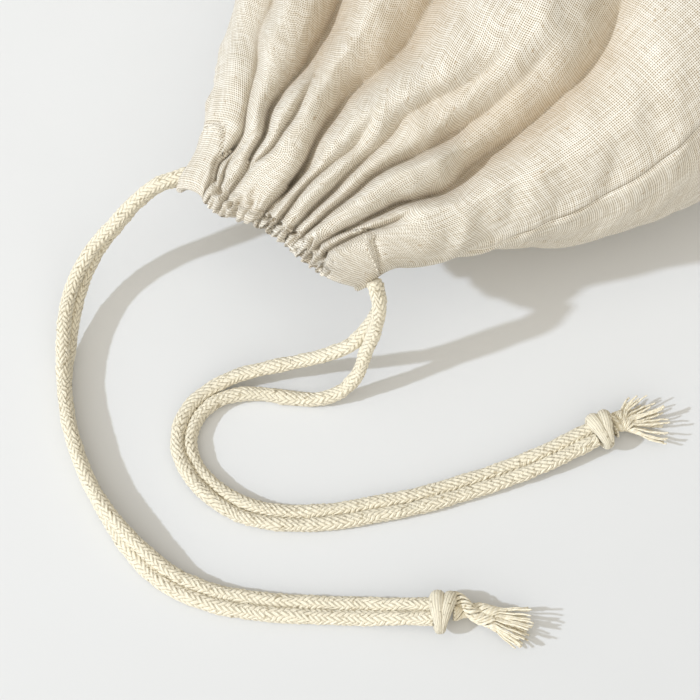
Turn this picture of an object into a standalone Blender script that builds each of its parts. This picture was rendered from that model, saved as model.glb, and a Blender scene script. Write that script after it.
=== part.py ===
"""A linen drawstring bread bag, lying puffed on a flat surface with its mouth drawn shut.

Frame: metres, +Z up, z = 0 is the surface it lies on. The bag's length runs along Y, with the
mouth at -Y, and the origin is under the middle of the bag. Tables are in millimetres.
"""
import math

import bmesh
import bpy
import numpy as np
from mathutils import Matrix, Vector

MM = 0.001

# ---------------------------------------------------------------- driving sizes (millimetres)
CLOTH_THICK = 2.0        # wall of the bag, two turned edges and the weave's own thickness
CASING_THICK = 4.5       # wall at the mouth: doubled cloth gathered over the drawstrings
CASING_END = 14.0        # how far behind the lip that thick wall thins out
CORD = 5.0               # braided cord across
GAP = 0.3                # space kept between pieces that touch
PANEL_COLUMNS = 42       # faces across each of the two panels
LIP_SKEW, LIP_TILT = 0.08, 0.06    # the mouth's line turned and tipped, per mm across
LIP_BOW = 4.0            # the lip's middle stands this far ahead of its ends
BOTTOM_BOW = 9.0         # the bottom seam's middle is drawn in this far by the puffed cloth
BOTTOM_REACH = 60.0
SEAM_ROWS = 1            # the hollow stops this many rows short of the bottom seam
LIP_REACH = 90.0         # skew, tilt and bow have died out this far behind the lip
LIP_LINE = (             # how far the lip lies back at places from -1, the left side, to 1
    (-1.0, 0.0), (-0.56, 0.6), (-0.43, 0.2), (-0.28, 2.4), (-0.15, 3.7), (0.02, 4.6),
    (0.19, 4.0), (0.47, 1.9), (0.73, 0.6), (0.88, 1.2), (1.0, 3.0))
LIP_LINE_REACH = 16.0    # and no longer does so this far behind it
UNDER_BACK = 9.0         # the lip's underside lies this far behind its top
UNDER_REACH = 34.0       # and no longer does so this far behind the lip

# ---------------------------------------------------------------- the bag's sections
# y along the bag; left, right, low and high limits of the section (a low under 0 is
# pressed flat on the surface); square: 2 is an ellipse, more is boxier; roll: how far
# the side seams have turned up the right side.
SECTION_COLUMNS = ("y", "left", "right", "low", "high", "square", "roll")
SECTIONS = (
    (-175, -40.5, 37.0, 40.0, 58.5, 2.8, 0),
    (-168, -41.5, 38.0, 38.5, 61.5, 2.7, 0),
    (-160, -43.5, 39.5, 35.0, 65.0, 2.5, -2),
    (-145, -53.0, 49.0, 25.0, 75.0, 2.2, -9),
    (-133, -59.5, 56.5, 17.0, 83.0, 2.1, -7),
    (-118, -68.0, 67.0, 8.0, 92.0, 2.1, 3),
    (-100, -78.0, 81.0, 0.0, 100.0, 2.1, 12),
    (-80, -88.5, 95.0, -3.0, 107.0, 2.2, 22),
    (-55, -99.0, 106.0, -5.0, 112.0, 2.3, 32),
    (-20, -110.0, 115.0, -6.0, 115.0, 2.3, 36),
    (20, -116.0, 119.5, -6.0, 115.0, 2.3, 32),
    (70, -118.0, 120.0, -5.0, 111.0, 2.3, 22),
    (110, -117.5, 118.5, -4.0, 101.0, 2.2, 12),
    (140, -118.5, 119.0, -2.0, 84.0, 2.1, 6),
    (160, -121.5, 122.0, 4.0, 63.0, 2.0, 2),
    (173, -126.0, 126.0, 12.0, 46.0, 2.0, 0),
    (181, -129.0, 129.0, 23.0, 31.0, 2.0, 0),
)
ROW_PLACES = (-175, -171, -167, -162, -156, -149, -141, -132, -121, -108, -92, -73, -50, -22,
              12, 48, 84, 114, 140, 158, 171, 181)

# ---------------------------------------------------------------- folds, a row for each
# A place across a panel is 0 at the left seam and 1 at the right. near, middle and far are the
# fold's places at the three distances behind the lip; it has died out at its end, also in mm.
FOLD_STATIONS = (14.0, 45.0, 95.0)
FOLD_COLUMNS = ("panel", "near", "middle", "far", "width", "depth", "end")
FOLDS = (
    ("upper", 0.173, 0.205, 0.30, 0.028, 5.0, 46),
    ("upper", 0.29, 0.31, 0.415, 0.030, 8.0, 135),
    ("upper", 0.458, 0.45, 0.575, 0.030, 9.5, 150),
    ("upper", 0.523, 0.53, 0.56, 0.026, 5.0, 50),
    ("upper", 0.595, 0.59, 0.65, 0.026, 6.0, 66),
    ("upper", 0.640, 0.655, 0.765, 0.026, 6.5, 100),
    ("upper", 0.722, 0.775, 0.822, 0.036, 10.0, 180),
    ("under", 0.14, 0.12, 0.12, 0.024, 5.0, 60),
    ("under", 0.29, 0.27, 0.26, 0.026, 6.0, 75),
    ("under", 0.44, 0.43, 0.42, 0.024, 6.0, 60),
    ("under", 0.58, 0.60, 0.61, 0.026, 6.0, 75),
    ("under", 0.72, 0.75, 0.76, 0.024, 5.0, 60),
    ("under", 0.87, 0.90, 0.91, 0.024, 4.0, 50),
)
FOLD_STEEPNESS = 1.1     # no fold is deeper than this many times its own width
FOLD_START = 8.0         # the folds begin this far behind the lip, inside the casing
FOLD_RISE = 9.0          # and are full this much further on
PLEATS = 11              # small gathers along each side of the lip
PLEAT_DEPTH = 1.3
PLEAT_REACH = 26.0

# ---------------------------------------------------------------- the drawstrings' free ends
# Each row is a point of the cord's middle line, chosen by hand.
CORD_ROUTES = {
    "cord_left_upper": (
        (-42.5, -174.0, 47.5), (-49.5, -179.5, 44.5), (-54.0, -187.5, 38.5), (-57.0, -197.5, 31.0),
        (-58.5, -207.0, 23.5), (-58.0, -214.5, 18.5), (-56.0, -223.5, 14.0), (-51.5, -232.0, 11.5),
        (-45.5, -239.5, 9.2), (-38.0, -247.5, 8.0), (-27.0, -257.5, 8.0), (-13.5, -266.5, 8.0),
        (1.5, -273.5, 8.0), (16.5, -277.0, 8.0), (30.5, -277.8, 6.5), (43.7, -276.8, 4.0),
        (57.5, -272.3, 2.7), (72.5, -263.8, 2.7), (88.0, -252.3, 2.7), (103.0, -240.8, 3.5),
        (111.0, -234.8, 5.2), (117.0, -230.0, 6.0)),
    "cord_left_lower": (
        (-42.5, -172.0, 42.0), (-49.0, -177.0, 39.0), (-53.0, -184.5, 34.0), (-54.2, -194.5, 26.3),
        (-54.3, -204.5, 19.5), (-53.7, -212.5, 14.5), (-51.7, -221.3, 10.2), (-49.5, -229.7, 6.3),
        (-45.0, -238.0, 3.8), (-38.0, -247.5, 2.6), (-27.0, -257.5, 2.6), (-13.5, -266.5, 2.6),
        (1.5, -273.5, 2.6), (16.2, -278.8, 2.6), (29.5, -282.3, 2.8), (44.0, -282.7, 2.6),
        (60.2, -277.7, 2.6), (75.7, -268.7, 2.6), (91.5, -257.2, 2.6), (106.5, -245.5, 3.5),
        (114.5, -239.3, 5.2), (120.7, -234.7, 6.0)),
    "cord_right_front": (
        (41.0, -165.8, 53.4), (44.8, -168.2, 48.5), (46.2, -171.2, 38.5), (46.7, -175.3, 27.0),
        (46.5, -179.0, 18.0), (45.5, -183.5, 10.0), (43.0, -189.0, 5.0), (38.5, -194.5, 3.0),
        (30.5, -200.5, 2.6), (21.5, -206.2, 2.6), (15.3, -213.0, 2.6), (11.3, -221.5, 2.6),
        (11.6, -230.0, 2.6), (15.2, -237.2, 2.6), (22.7, -241.8, 2.6), (32.5, -243.0, 2.6),
        (44.5, -240.8, 2.6), (55.0, -235.5, 2.6), (66.7, -225.8, 2.6), (76.5, -215.2, 2.6),
        (86.3, -203.2, 2.6), (95.8, -189.2, 2.6), (105.8, -173.2, 3.0), (114.7, -157.0, 5.1),
        (120.6, -143.3, 6.0)),
    "cord_right_back": (
        (40.6, -163.8, 47.4), (42.4, -164.8, 43.5), (42.4, -166.6, 37.5), (41.8, -169.7, 32.0),
        (40.3, -174.0, 27.5), (38.0, -179.0, 22.5), (33.5, -183.8, 17.0), (26.5, -190.0, 12.0),
        (18.0, -199.0, 9.2), (9.5, -208.5, 6.8), (5.0, -217.5, 5.0), (3.9, -227.0, 4.4),
        (6.4, -235.5, 4.4), (12.5, -242.6, 4.4), (21.5, -246.8, 4.2), (33.0, -248.8, 3.8),
        (45.5, -247.5, 2.8), (56.2, -242.5, 2.6), (66.2, -235.0, 2.6), (75.7, -225.3, 2.6),
        (84.2, -214.3, 2.6), (91.7, -205.3, 2.6), (100.7, -191.7, 2.6), (110.7, -175.5, 3.0),
        (119.5, -159.5, 5.1), (125.4, -146.2, 6.0)),
}
CORD_STEP = 8.0          # space between a tube's points

# ---------------------------------------------------------------- knots and tassels
# x, y, z: the knot's entry face; heading: degrees from +X; long, wide and high: the knot;
# neck: the cord ends past the knot; tail: the loose yarns; fan: degrees they open to each
# side; lift: height of the topmost tips; lean: how far the tassel turns from the heading.
KNOT_COLUMNS = ("side", "x", "y", "z", "heading", "long", "wide", "high", "neck", "tail",
                "fan", "lift", "lean")
KNOTS = (
    ("left", 119.3, -231.9, 6.1, 38, 10.6, 15.4, 12.0, 10.0, 16.0, 24, 9.5, -14),
    ("right", 123.3, -144.1, 6.1, 66, 10.8, 14.0, 12.0, 4.0, 17.0, 46, 9.0, -8),
)
KNOT_SIDES = 18
KNOT_WRAPS = 3
WRAP_RIDGE = 0.10        # a wrap's ridge, as a share of the knot's radius
NECK_WIDE, NECK_HIGH = 9.4, 6.2
YARN_ROWS, YARN_COLUMNS = 3, 8
YARN_PARTS = 4           # lengths in each yarn
YARN_SHRINK = 0.24       # share of its cell that each yarn leaves free
YARN_TAPER = 0.72        # a yarn's tip, as a share of its root
YARN_LANDING = 0.6       # the lowest yarns reach the surface at this share of their length
YARN_CLEAR = 0.05        # and lie this far over it
YARN_THICK = NECK_HIGH / YARN_ROWS * (1.0 - YARN_SHRINK)

CLOTH_COLOUR = (0.78, 0.73, 0.64, 1.0)
CORD_COLOUR = (0.86, 0.80, 0.66, 1.0)


# ---------------------------------------------------------------- scene and materials
def clear_scene():
    for item in list(bpy.data.objects):
        bpy.data.objects.remove(item, do_unlink=True)


def plain_material(name, colour, roughness):
    material = bpy.data.materials.new(name)
    material.use_nodes = True
    surface = material.node_tree.nodes["Principled BSDF"]
    surface.inputs["Base Color"].default_value = colour
    surface.inputs["Roughness"].default_value = roughness
    surface.inputs["Metallic"].default_value = 0.0
    material.diffuse_color = colour
    return material


def object_from_bmesh(name, mesh_parts, material):
    bmesh.ops.recalc_face_normals(mesh_parts, faces=mesh_parts.faces)
    mesh = bpy.data.meshes.new(name)
    mesh_parts.to_mesh(mesh)
    mesh_parts.free()
    mesh.shade_smooth()
    mesh.materials.append(material)
    piece = bpy.data.objects.new(name, mesh)
    bpy.context.scene.collection.objects.link(piece)
    return piece


# ---------------------------------------------------------------- smooth curves
def smooth_values(places, values, at):
    """Cubic through (places, values) with slopes from each point's neighbours."""
    places = np.asarray(places, float)
    values = np.asarray(values, float)
    slopes = np.gradient(values, places, axis=0)
    at = np.atleast_1d(np.asarray(at, float))
    start = np.clip(np.searchsorted(places, at, side="right") - 1, 0, len(places) - 2)
    span = places[start + 1] - places[start]
    t = (at - places[start]) / span
    shape = (-1,) + (1,) * (values.ndim - 1)
    t, span = t.reshape(shape), span.reshape(shape)
    return ((2 * t**3 - 3 * t**2 + 1) * values[start] + (t**3 - 2 * t**2 + t) * span * slopes[start]
            + (3 * t**2 - 2 * t**3) * values[start + 1] + (t**3 - t**2) * span * slopes[start + 1])


def fade(distance, start, rise):
    """0 before start, 1 from start + rise on, smooth between."""
    t = np.clip((distance - start) / rise, 0.0, 1.0)
    return t * t * (3.0 - 2.0 * t)


# ---------------------------------------------------------------- the bag's cloth
def section_outline(row, shares):
    """Points round one section, at shares 0..1 of each panel: the upper panel's, then the lower's."""
    turn = np.linspace(0.0, 2.0 * math.pi, 361)
    power = 2.0 / row["square"]
    middle_x, half_x = (row["left"] + row["right"]) / 2, (row["right"] - row["left"]) / 2
    middle_z, half_z = (row["low"] + row["high"]) / 2, (row["high"] - row["low"]) / 2
    x = middle_x - half_x * np.sign(np.cos(turn)) * np.abs(np.cos(turn)) ** power
    z = middle_z + half_z * np.sign(np.sin(turn)) * np.abs(np.sin(turn)) ** power
    z = np.maximum(z, 0.0)
    run = np.concatenate([[0.0], np.cumsum(np.hypot(np.diff(x), np.diff(z)))])
    half = np.interp(math.pi, turn, run)
    upper = -row["roll"] + shares * half
    lower = half - row["roll"] + shares * (run[-1] - half)
    where = np.concatenate([upper, lower]) % run[-1]
    return np.interp(where, run, x), np.interp(where, run, z), half


def section_rows(places):
    table = np.array(SECTIONS, float)
    values = smooth_values(table[:, 0], table[:, 1:], places)
    return [dict(zip(SECTION_COLUMNS, (place, *row))) for place, row in zip(places, values)]


def fold_depths(behind, shares, panel, panel_width):
    """How far the folds draw the cloth in at each share across a panel, this far behind the lip."""
    depth = np.zeros_like(shares)
    for row in FOLDS:
        fold = dict(zip(FOLD_COLUMNS, row))
        if fold["panel"] != panel:
            continue
        places = (fold["near"], fold["middle"], fold["far"])
        at = smooth_values(FOLD_STATIONS, places, min(max(behind, FOLD_STATIONS[0]), FOLD_STATIONS[-1]))
        strength = fade(behind, FOLD_START, FOLD_RISE) * (1.0 - fade(behind, 0.35 * fold["end"], 0.65 * fold["end"]))
        deepest = min(fold["depth"], FOLD_STEEPNESS * fold["width"] * panel_width)
        depth += deepest * strength * np.exp(-((shares - at) / fold["width"]) ** 2)
    return depth


def pleat_depths(behind, shares):
    """The small gathers of the lip, alike on both panels."""
    gathers = PLEAT_DEPTH * np.cos(2.0 * math.pi * PLEATS * shares) * np.sin(math.pi * shares) ** 0.5
    return gathers * (1.0 - fade(behind, 0.3 * PLEAT_REACH, PLEAT_REACH))


def bag_surfaces():
    """Outer and inner grids of points, a row for each place along the bag."""
    places = np.array(ROW_PLACES, float)
    shares = np.arange(PANEL_COLUMNS) / PANEL_COLUMNS
    base, folds, pleats = [], [], []
    for row in section_rows(places):
        behind = row["y"] - places[0]
        x, z, panel_width = section_outline(row, shares)
        middle, half = (row["left"] + row["right"]) / 2, (row["right"] - row["left"]) / 2
        near = 1.0 - fade(behind, 0.0, LIP_REACH)
        inward = 1.0 - ((x - middle) / half) ** 2
        y = row["y"] + near * (LIP_SKEW * (x - middle) - LIP_BOW * inward)
        set_back = smooth_values(*np.array(LIP_LINE).T, (x - middle) / half)
        y = y + set_back * (1.0 - fade(behind, 0.0, LIP_LINE_REACH))
        lowness = np.clip((row["high"] + row["low"] - 2 * z) / (row["high"] - row["low"]), 0.0, 1.0)
        y = y + UNDER_BACK * lowness * (1.0 - fade(behind, 0.0, UNDER_REACH))
        y = y - BOTTOM_BOW * inward * fade(row["y"], places[-1] - BOTTOM_REACH, BOTTOM_REACH)
        z = z + near * LIP_TILT * (x - middle)
        base.append(np.stack([x, y, z], axis=1))
        folds.append(np.concatenate([fold_depths(behind, shares, panel, panel_width)
                                     for panel in ("upper", "under")]))
        pleats.append(np.tile(pleat_depths(behind, shares), 2))
    base, folds, pleats = np.array(base), np.array(folds), np.array(pleats)
    normals = surface_normals(base)
    thin = fade(places - places[0], 0.4 * CASING_END, 0.6 * CASING_END)[:, None]
    thick = CASING_THICK + (CLOTH_THICK - CASING_THICK) * thin
    outer = base - normals * (folds + pleats)[:, :, None]
    inner = base - normals * (folds + thick)[:, :, None]
    outer[:, :, 2] = np.maximum(outer[:, :, 2], 0.0)
    inner[:, :, 2] = np.maximum(inner[:, :, 2], CLOTH_THICK)
    return outer, inner[:-SEAM_ROWS]


def surface_normals(grid):
    """Outward unit normals of a grid that closes on itself across its columns."""
    round_the_bag = np.roll(grid, -1, axis=1) - np.roll(grid, 1, axis=1)
    along_the_bag = np.gradient(grid, axis=0)
    normals = np.cross(round_the_bag, along_the_bag)
    normals /= np.linalg.norm(normals, axis=2, keepdims=True)
    outward = np.sum(normals * (grid - grid.mean(axis=1, keepdims=True)), axis=2).mean()
    return normals if outward > 0 else -normals


def build_bag(material):
    outer, inner = bag_surfaces()
    cloth = bmesh.new()
    rows = [[cloth.verts.new(Vector(point) * MM) for point in row] for row in (*outer[::-1], *inner)]
    columns = len(rows[0])
    for one, other in zip(rows, rows[1:]):
        for i in range(columns):
            j = (i + 1) % columns
            cloth.faces.new((one[i], one[j], other[j], other[i]))
    for end in (rows[0], rows[-1]):
        for i in range(PANEL_COLUMNS):
            face = (end[i], end[i + 1], end[(-i - 1) % columns], end[-i % columns])
            cloth.faces.new([corner for k, corner in enumerate(face) if corner not in face[:k]])
    return object_from_bmesh("bag_cloth", cloth, material)


# ---------------------------------------------------------------- the cords
def cord_points(route):
    route = np.array(route, float)
    run = np.concatenate([[0.0], np.cumsum(np.linalg.norm(np.diff(route, axis=0), axis=1))])
    count = round(run[-1] / CORD_STEP) + 1
    return smooth_values(run, route, np.linspace(0.0, run[-1], count))


def build_cord(name, route, material):
    curve = bpy.data.curves.new(name, "CURVE")
    curve.dimensions = "3D"
    curve.bevel_depth = CORD / 2 * MM
    curve.bevel_resolution = 2
    curve.use_fill_caps = True
    points = cord_points(route)
    spline = curve.splines.new("POLY")
    spline.points.add(len(points) - 1)
    for spot, point in zip(spline.points, points):
        spot.co = (*(point * MM), 1.0)
    curve.materials.append(material)
    piece = bpy.data.objects.new(name, curve)
    bpy.context.scene.collection.objects.link(piece)
    return piece


# ---------------------------------------------------------------- knots and tassels
def knot_frame(knot):
    place = Matrix.Translation(Vector((knot["x"], knot["y"], knot["z"])) * MM)
    return place @ Matrix.Rotation(math.radians(knot["heading"]), 4, "Z")


def build_knot(knot, material):
    """A barrel of wraps lying across the cords, flat where the cords enter and leave."""
    stations = 4 * KNOT_WRAPS + 1
    lump = bmesh.new()
    rings = []
    for k in range(stations):
        share = k / (stations - 1)
        barrel = 0.74 + 0.26 * math.sin(math.pi * share) ** 0.6
        size = barrel - WRAP_RIDGE * (0.5 + 0.5 * math.cos(2.0 * math.pi * KNOT_WRAPS * share))
        ring = []
        for i in range(KNOT_SIDES):
            turn = 2.0 * math.pi * i / KNOT_SIDES
            spot = Vector((share * knot["long"], knot["wide"] / 2 * size * math.cos(turn),
                           knot["high"] / 2 * size * math.sin(turn)))
            ring.append(lump.verts.new(spot * MM))
        rings.append(ring)
    for one, other in zip(rings, rings[1:]):
        for i in range(KNOT_SIDES):
            j = (i + 1) % KNOT_SIDES
            lump.faces.new((one[i], one[j], other[j], other[i]))
    lump.faces.new(rings[0])
    lump.faces.new(rings[-1])
    lump.transform(knot_frame(knot))
    return object_from_bmesh(f"knot_{knot['side']}", lump, material)


def neck_point(across, over, along):
    """A point of the neck's section: across and over run -1..1, squared off into an ellipse."""
    x = across * math.sqrt(1.0 - over * over / 2.0)
    z = over * math.sqrt(1.0 - across * across / 2.0)
    return Vector((along, NECK_WIDE / 2 * x, NECK_HIGH / 2 * z))


def yarn_middle(knot, root, across, rise, t):
    """The yarn's middle line in the tassel's frame, t from 0 at the neck to 1 at the tip.

    rise is 0 in the lowest layer, which comes to rest on the surface, and 1 in the topmost.
    """
    uneven = math.sin(9.1 * across + 4.4 * rise)
    reach = knot["tail"] * (0.93 + 0.07 * rise - 0.12 * across * across + 0.07 * uneven)
    opening = math.radians(knot["fan"]) * across * t ** 0.7
    resting = YARN_THICK / 2 * (1.0 - (1.0 - YARN_TAPER) * t) + YARN_CLEAR - knot["z"]
    low = root.z + (resting - root.z) * float(fade(t, 0.0, YARN_LANDING))
    high = root.z + (knot["lift"] - knot["z"] - root.z) * t
    return Vector((root.x + reach * t * math.cos(opening), root.y + reach * t * math.sin(opening),
                   low + (high - low) * rise))


def build_tassel(knot, material):
    """The cord ends' neck, with the loose yarns drawn out of the cells of its end face."""
    tassel = bmesh.new()
    start, end = knot["long"] + GAP, knot["long"] + GAP + knot["neck"]
    grid = [[tassel.verts.new(neck_point(2 * c / YARN_COLUMNS - 1, 2 * r / YARN_ROWS - 1, end) * MM)
             for c in range(YARN_COLUMNS + 1)] for r in range(YARN_ROWS + 1)]
    rim = (grid[0][:-1] + [row[-1] for row in grid[:-1]] + grid[-1][:0:-1]
           + [row[0] for row in grid[:0:-1]])
    near = [tassel.verts.new(Vector((start * MM, spot.co.y * 0.8, spot.co.z * 0.8))) for spot in rim]
    for i in range(len(rim)):
        j = (i + 1) % len(rim)
        tassel.faces.new((near[i], near[j], rim[j], rim[i]))
    tassel.faces.new(near)
    for r in range(YARN_ROWS):
        for c in range(YARN_COLUMNS):
            corners = (grid[r][c], grid[r][c + 1], grid[r + 1][c + 1], grid[r + 1][c])
            draw_yarn(tassel, knot, corners, 2 * (c + 0.5) / YARN_COLUMNS - 1, r / (YARN_ROWS - 1))
    hinge = Vector((start * MM, 0.0, 0.0))
    bmesh.ops.rotate(tassel, cent=hinge, matrix=Matrix.Rotation(math.radians(knot["lean"]), 3, "Z"),
                     verts=[spot for spot in tassel.verts if spot not in near])
    tassel.transform(knot_frame(knot))
    return object_from_bmesh(f"tassel_{knot['side']}", tassel, material)


def draw_yarn(tassel, knot, corners, across, rise):
    """Four-sided yarn from one cell of the neck's end face."""
    root = sum((corner.co for corner in corners), Vector()) / 4
    shape = [(corner.co - root) * (1.0 - YARN_SHRINK) for corner in corners]
    last = corners
    for k in range(YARN_PARTS + 1):
        t = k / YARN_PARTS
        middle = yarn_middle(knot, root / MM, across, rise, t) * MM
        opening = math.radians(knot["fan"]) * across * t ** 0.7
        turned = Matrix.Rotation(opening, 3, "Z")
        size = 1.0 - (1.0 - YARN_TAPER) * t
        ring = [tassel.verts.new(middle + turned @ (offset * size)) for offset in shape]
        for i in range(4):
            j = (i + 1) % 4
            tassel.faces.new((last[i], last[j], ring[j], ring[i]))
        last = ring
    tassel.faces.new(last)


def main():
    clear_scene()
    linen = plain_material("linen", CLOTH_COLOUR, 0.95)
    cotton = plain_material("cotton_braid", CORD_COLOUR, 0.9)
    build_bag(linen)
    for name, route in CORD_ROUTES.items():
        build_cord(name, route, cotton)
    for row in KNOTS:
        knot = dict(zip(KNOT_COLUMNS, row))
        build_knot(knot, cotton)
        build_tassel(knot, cotton)


main()
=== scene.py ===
# %% [markdown]
# # A linen bread bag, drawn shut by two cotton cords
# The bag lies puffed on a pale surface, with its mouth gathered on two drawstrings whose free
# ends are knotted and frayed. The CAD frame gives each piece its place, and this script gives it
# its cloth, its braid and its light.
#
# Lengths in the tables are millimetres and angles are degrees. +Z is up, the bag lies along Y
# with its mouth at -Y, and z = 0 is the surface that it rests on.

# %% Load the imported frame
import math

import bmesh
import bpy
import numpy as np
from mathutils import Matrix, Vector


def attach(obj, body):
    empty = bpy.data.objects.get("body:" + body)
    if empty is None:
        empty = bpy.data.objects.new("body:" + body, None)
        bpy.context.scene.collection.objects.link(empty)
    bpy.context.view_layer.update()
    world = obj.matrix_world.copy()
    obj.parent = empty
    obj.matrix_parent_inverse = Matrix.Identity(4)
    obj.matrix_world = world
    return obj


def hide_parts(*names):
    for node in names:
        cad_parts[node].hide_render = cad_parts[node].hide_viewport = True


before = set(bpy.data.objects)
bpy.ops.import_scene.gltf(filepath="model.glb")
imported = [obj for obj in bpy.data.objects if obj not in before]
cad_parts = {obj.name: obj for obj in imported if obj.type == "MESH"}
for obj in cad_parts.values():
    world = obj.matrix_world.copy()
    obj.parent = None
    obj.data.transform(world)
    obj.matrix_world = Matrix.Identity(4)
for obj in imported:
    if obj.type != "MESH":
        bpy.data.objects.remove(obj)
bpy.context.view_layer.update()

MM = 0.001

# %% [markdown]
# ## Camera
# A camera is a place, a direction and a lens. Here it looks down on the mouth from its right
# front. It stands 0.7 m away, because a nearer one would bend the cords and a farther one would
# lose the depth between the puffed body and the surface. The lens follows from the width that
# the picture takes in at that distance, so only real sizes are typed.

# %% Camera
CAMERA_TARGET = (34.0, -171.0, 0.0)
CAMERA_AZIMUTH, CAMERA_ELEVATION, CAMERA_DISTANCE = 40.0, 66.0, 700.0
CAMERA_WIDTH = 259.0          # what the picture takes in across, at the target
SENSOR = 36.0


def placed(data, name):
    """An object at the origin that shows this mesh, camera or light."""
    thing = bpy.data.objects.new(name, data)
    bpy.context.scene.collection.objects.link(thing)
    return thing


def heading(turn, rise):
    """The unit vector at an angle turned from +X about Z, and an angle above the ground."""
    turn, rise = math.radians(turn), math.radians(rise)
    return Vector((math.cos(turn) * math.cos(rise), math.sin(turn) * math.cos(rise), math.sin(rise)))


def add_camera():
    """Puts the camera where the picture was taken from."""
    toward_camera = heading(CAMERA_AZIMUTH - 90.0, CAMERA_ELEVATION)
    data = bpy.data.cameras.new("photo_view")
    data.sensor_width = SENSOR
    data.lens = SENSOR * CAMERA_DISTANCE / CAMERA_WIDTH
    data.clip_start, data.clip_end = 0.01, 20.0
    camera = placed(data, "photo_view")
    camera.location = (Vector(CAMERA_TARGET) + toward_camera * CAMERA_DISTANCE) * MM
    camera.rotation_euler = (-toward_camera).to_track_quat("-Z", "Y").to_euler()
    bpy.context.scene.camera = camera
    print("lens in mm:", round(data.lens, 1))


add_camera()

# %% [markdown]
# ## Light
# The shadows on the surface have firm edges and lie long, so the key light is a low sun, small in
# the sky. They aren't dark, which asks for a strong plain sky beside it. A sun lamp gives parallel
# light, whose spread angle softens the shadow edges, and the world's colour is the sky. Part of the
# sky's light comes from one wide lamp in front of the mouth, so the bag doesn't take the light of
# the whole sky from the surface there. The Standard view transform keeps the pale surface as pale
# as it is lit.

# %% Light
SUN_HEADING, SUN_ELEVATION = 53.0, 36.5    # the way the light travels, and how high it stands
SUN_ANGLE, SUN_STRENGTH = 2.2, 2.15
SUN_COLOUR, SKY_COLOUR = (0.80, 0.88, 1.0), (1.0, 0.965, 0.885, 1.0)
SKY_STRENGTH = 0.59
FILL_HEADING, FILL_ELEVATION = 112.0, 46.0    # the wide lamp in front of the mouth
FILL_ANGLE, FILL_STRENGTH = 110.0, 1.34


def add_sun(name, turn, rise, angle, strength, colour):
    """A lamp of parallel light that travels along this heading, downward by rise."""
    data = bpy.data.lights.new(name, "SUN")
    data.energy, data.color = strength, colour
    data.angle = math.radians(angle)
    placed(data, name).rotation_euler = heading(turn, -rise).to_track_quat("-Z", "Y").to_euler()


def add_light():
    """Both lamps, the sky and the view transform."""
    add_sun("low_sun", SUN_HEADING, SUN_ELEVATION, SUN_ANGLE, SUN_STRENGTH, SUN_COLOUR)
    add_sun("front_of_sky", FILL_HEADING, FILL_ELEVATION, FILL_ANGLE, FILL_STRENGTH, SKY_COLOUR[:3])
    world = bpy.data.worlds.new("pale_sky")
    bpy.context.scene.world = world
    world.use_nodes = True
    sky = world.node_tree.nodes["Background"]
    sky.inputs["Color"].default_value = SKY_COLOUR
    sky.inputs["Strength"].default_value = SKY_STRENGTH
    bpy.context.scene.view_settings.view_transform = "Standard"
    from_sun = SUN_STRENGTH * math.sin(math.radians(SUN_ELEVATION))
    print("sun to plain sky on level ground:", round(from_sun / (math.pi * SKY_STRENGTH), 2))


add_light()

# %% [markdown]
# ## Smooth curves from a few points
# Cords, sections and folds are all drawn from short tables. A cubic whose slope at each point
# comes from its neighbours passes through every row and never kinks, which is what limp cord and
# cloth do. The same function serves one number or a whole row of them.

# %% Smooth curves
FINE_STEPS = 40          # a route is first read at this many places for each of its points


def smooth_values(places, values, at):
    """The cubic through (places, values), read at other places."""
    places, values = np.asarray(places, float), np.asarray(values, float)
    slopes = np.gradient(values, places, axis=0)
    at = np.atleast_1d(np.asarray(at, float))
    start = np.clip(np.searchsorted(places, at, side="right") - 1, 0, len(places) - 2)
    span = places[start + 1] - places[start]
    t = np.clip((at - places[start]) / span, 0.0, 1.0)
    shape = (-1,) + (1,) * (values.ndim - 1)
    t, span = t.reshape(shape), span.reshape(shape)
    return ((2 * t**3 - 3 * t**2 + 1) * values[start] + (t**3 - 2 * t**2 + t) * span * slopes[start]
            + (3 * t**2 - 2 * t**3) * values[start + 1] + (t**3 - t**2) * span * slopes[start + 1])


def fade(distance, start, rise):
    """0 before start, 1 from start + rise on, smooth between."""
    t = np.clip((distance - start) / rise, 0.0, 1.0)
    return t * t * (3.0 - 2.0 * t)


def between(distance, rise, fall):
    """1 between a rise and a fall, each given as its start and its length, and 0 outside."""
    return fade(distance, *rise) * (1.0 - fade(distance, *fall))


def run_lengths(points):
    """The run along each row of points, 0 at its first."""
    steps = np.linalg.norm(np.diff(points, axis=-2), axis=-1)
    return np.concatenate([np.zeros_like(steps[..., :1]), np.cumsum(steps, axis=-1)], axis=-1)


def unit(vectors):
    """The same directions, each 1 long."""
    return vectors / np.linalg.norm(vectors, axis=-1, keepdims=True)


def whole_turn(steps):
    """The angles of one turn in even steps, both ends included."""
    return np.linspace(0.0, 2.0 * math.pi, steps + 1)


def even_line(route, step):
    """A smooth line through a route's points, cut into even steps."""
    route = np.array(route, float)
    run = run_lengths(route)
    fine = smooth_values(run, route, np.linspace(0.0, run[-1], FINE_STEPS * len(route)))
    fine_run = run_lengths(fine)
    even = np.linspace(0.0, fine_run[-1], max(4, round(fine_run[-1] / step) + 1))
    return np.stack([np.interp(even, fine_run, fine[:, k]) for k in range(3)], axis=1)


# %% [markdown]
# ## A grid, bent into a skin
# Cloth and cord are both thin skins that could be sculpted, but a grid bent by a formula can be
# measured and made again. bmesh makes the grid, and this helper moves each of its points and lays
# the UV map in real metres, so that a weave keeps its scale over every fold. Two numbers go with
# each point: how much painted shade it gets, more the deeper it lies in a crease or gap, and
# "lane" where it lies across its strand. In the loose yarns the first also holds their own tone.

# %% Skins
WELD = 1e-7              # points nearer than this, in metres, become one


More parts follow.
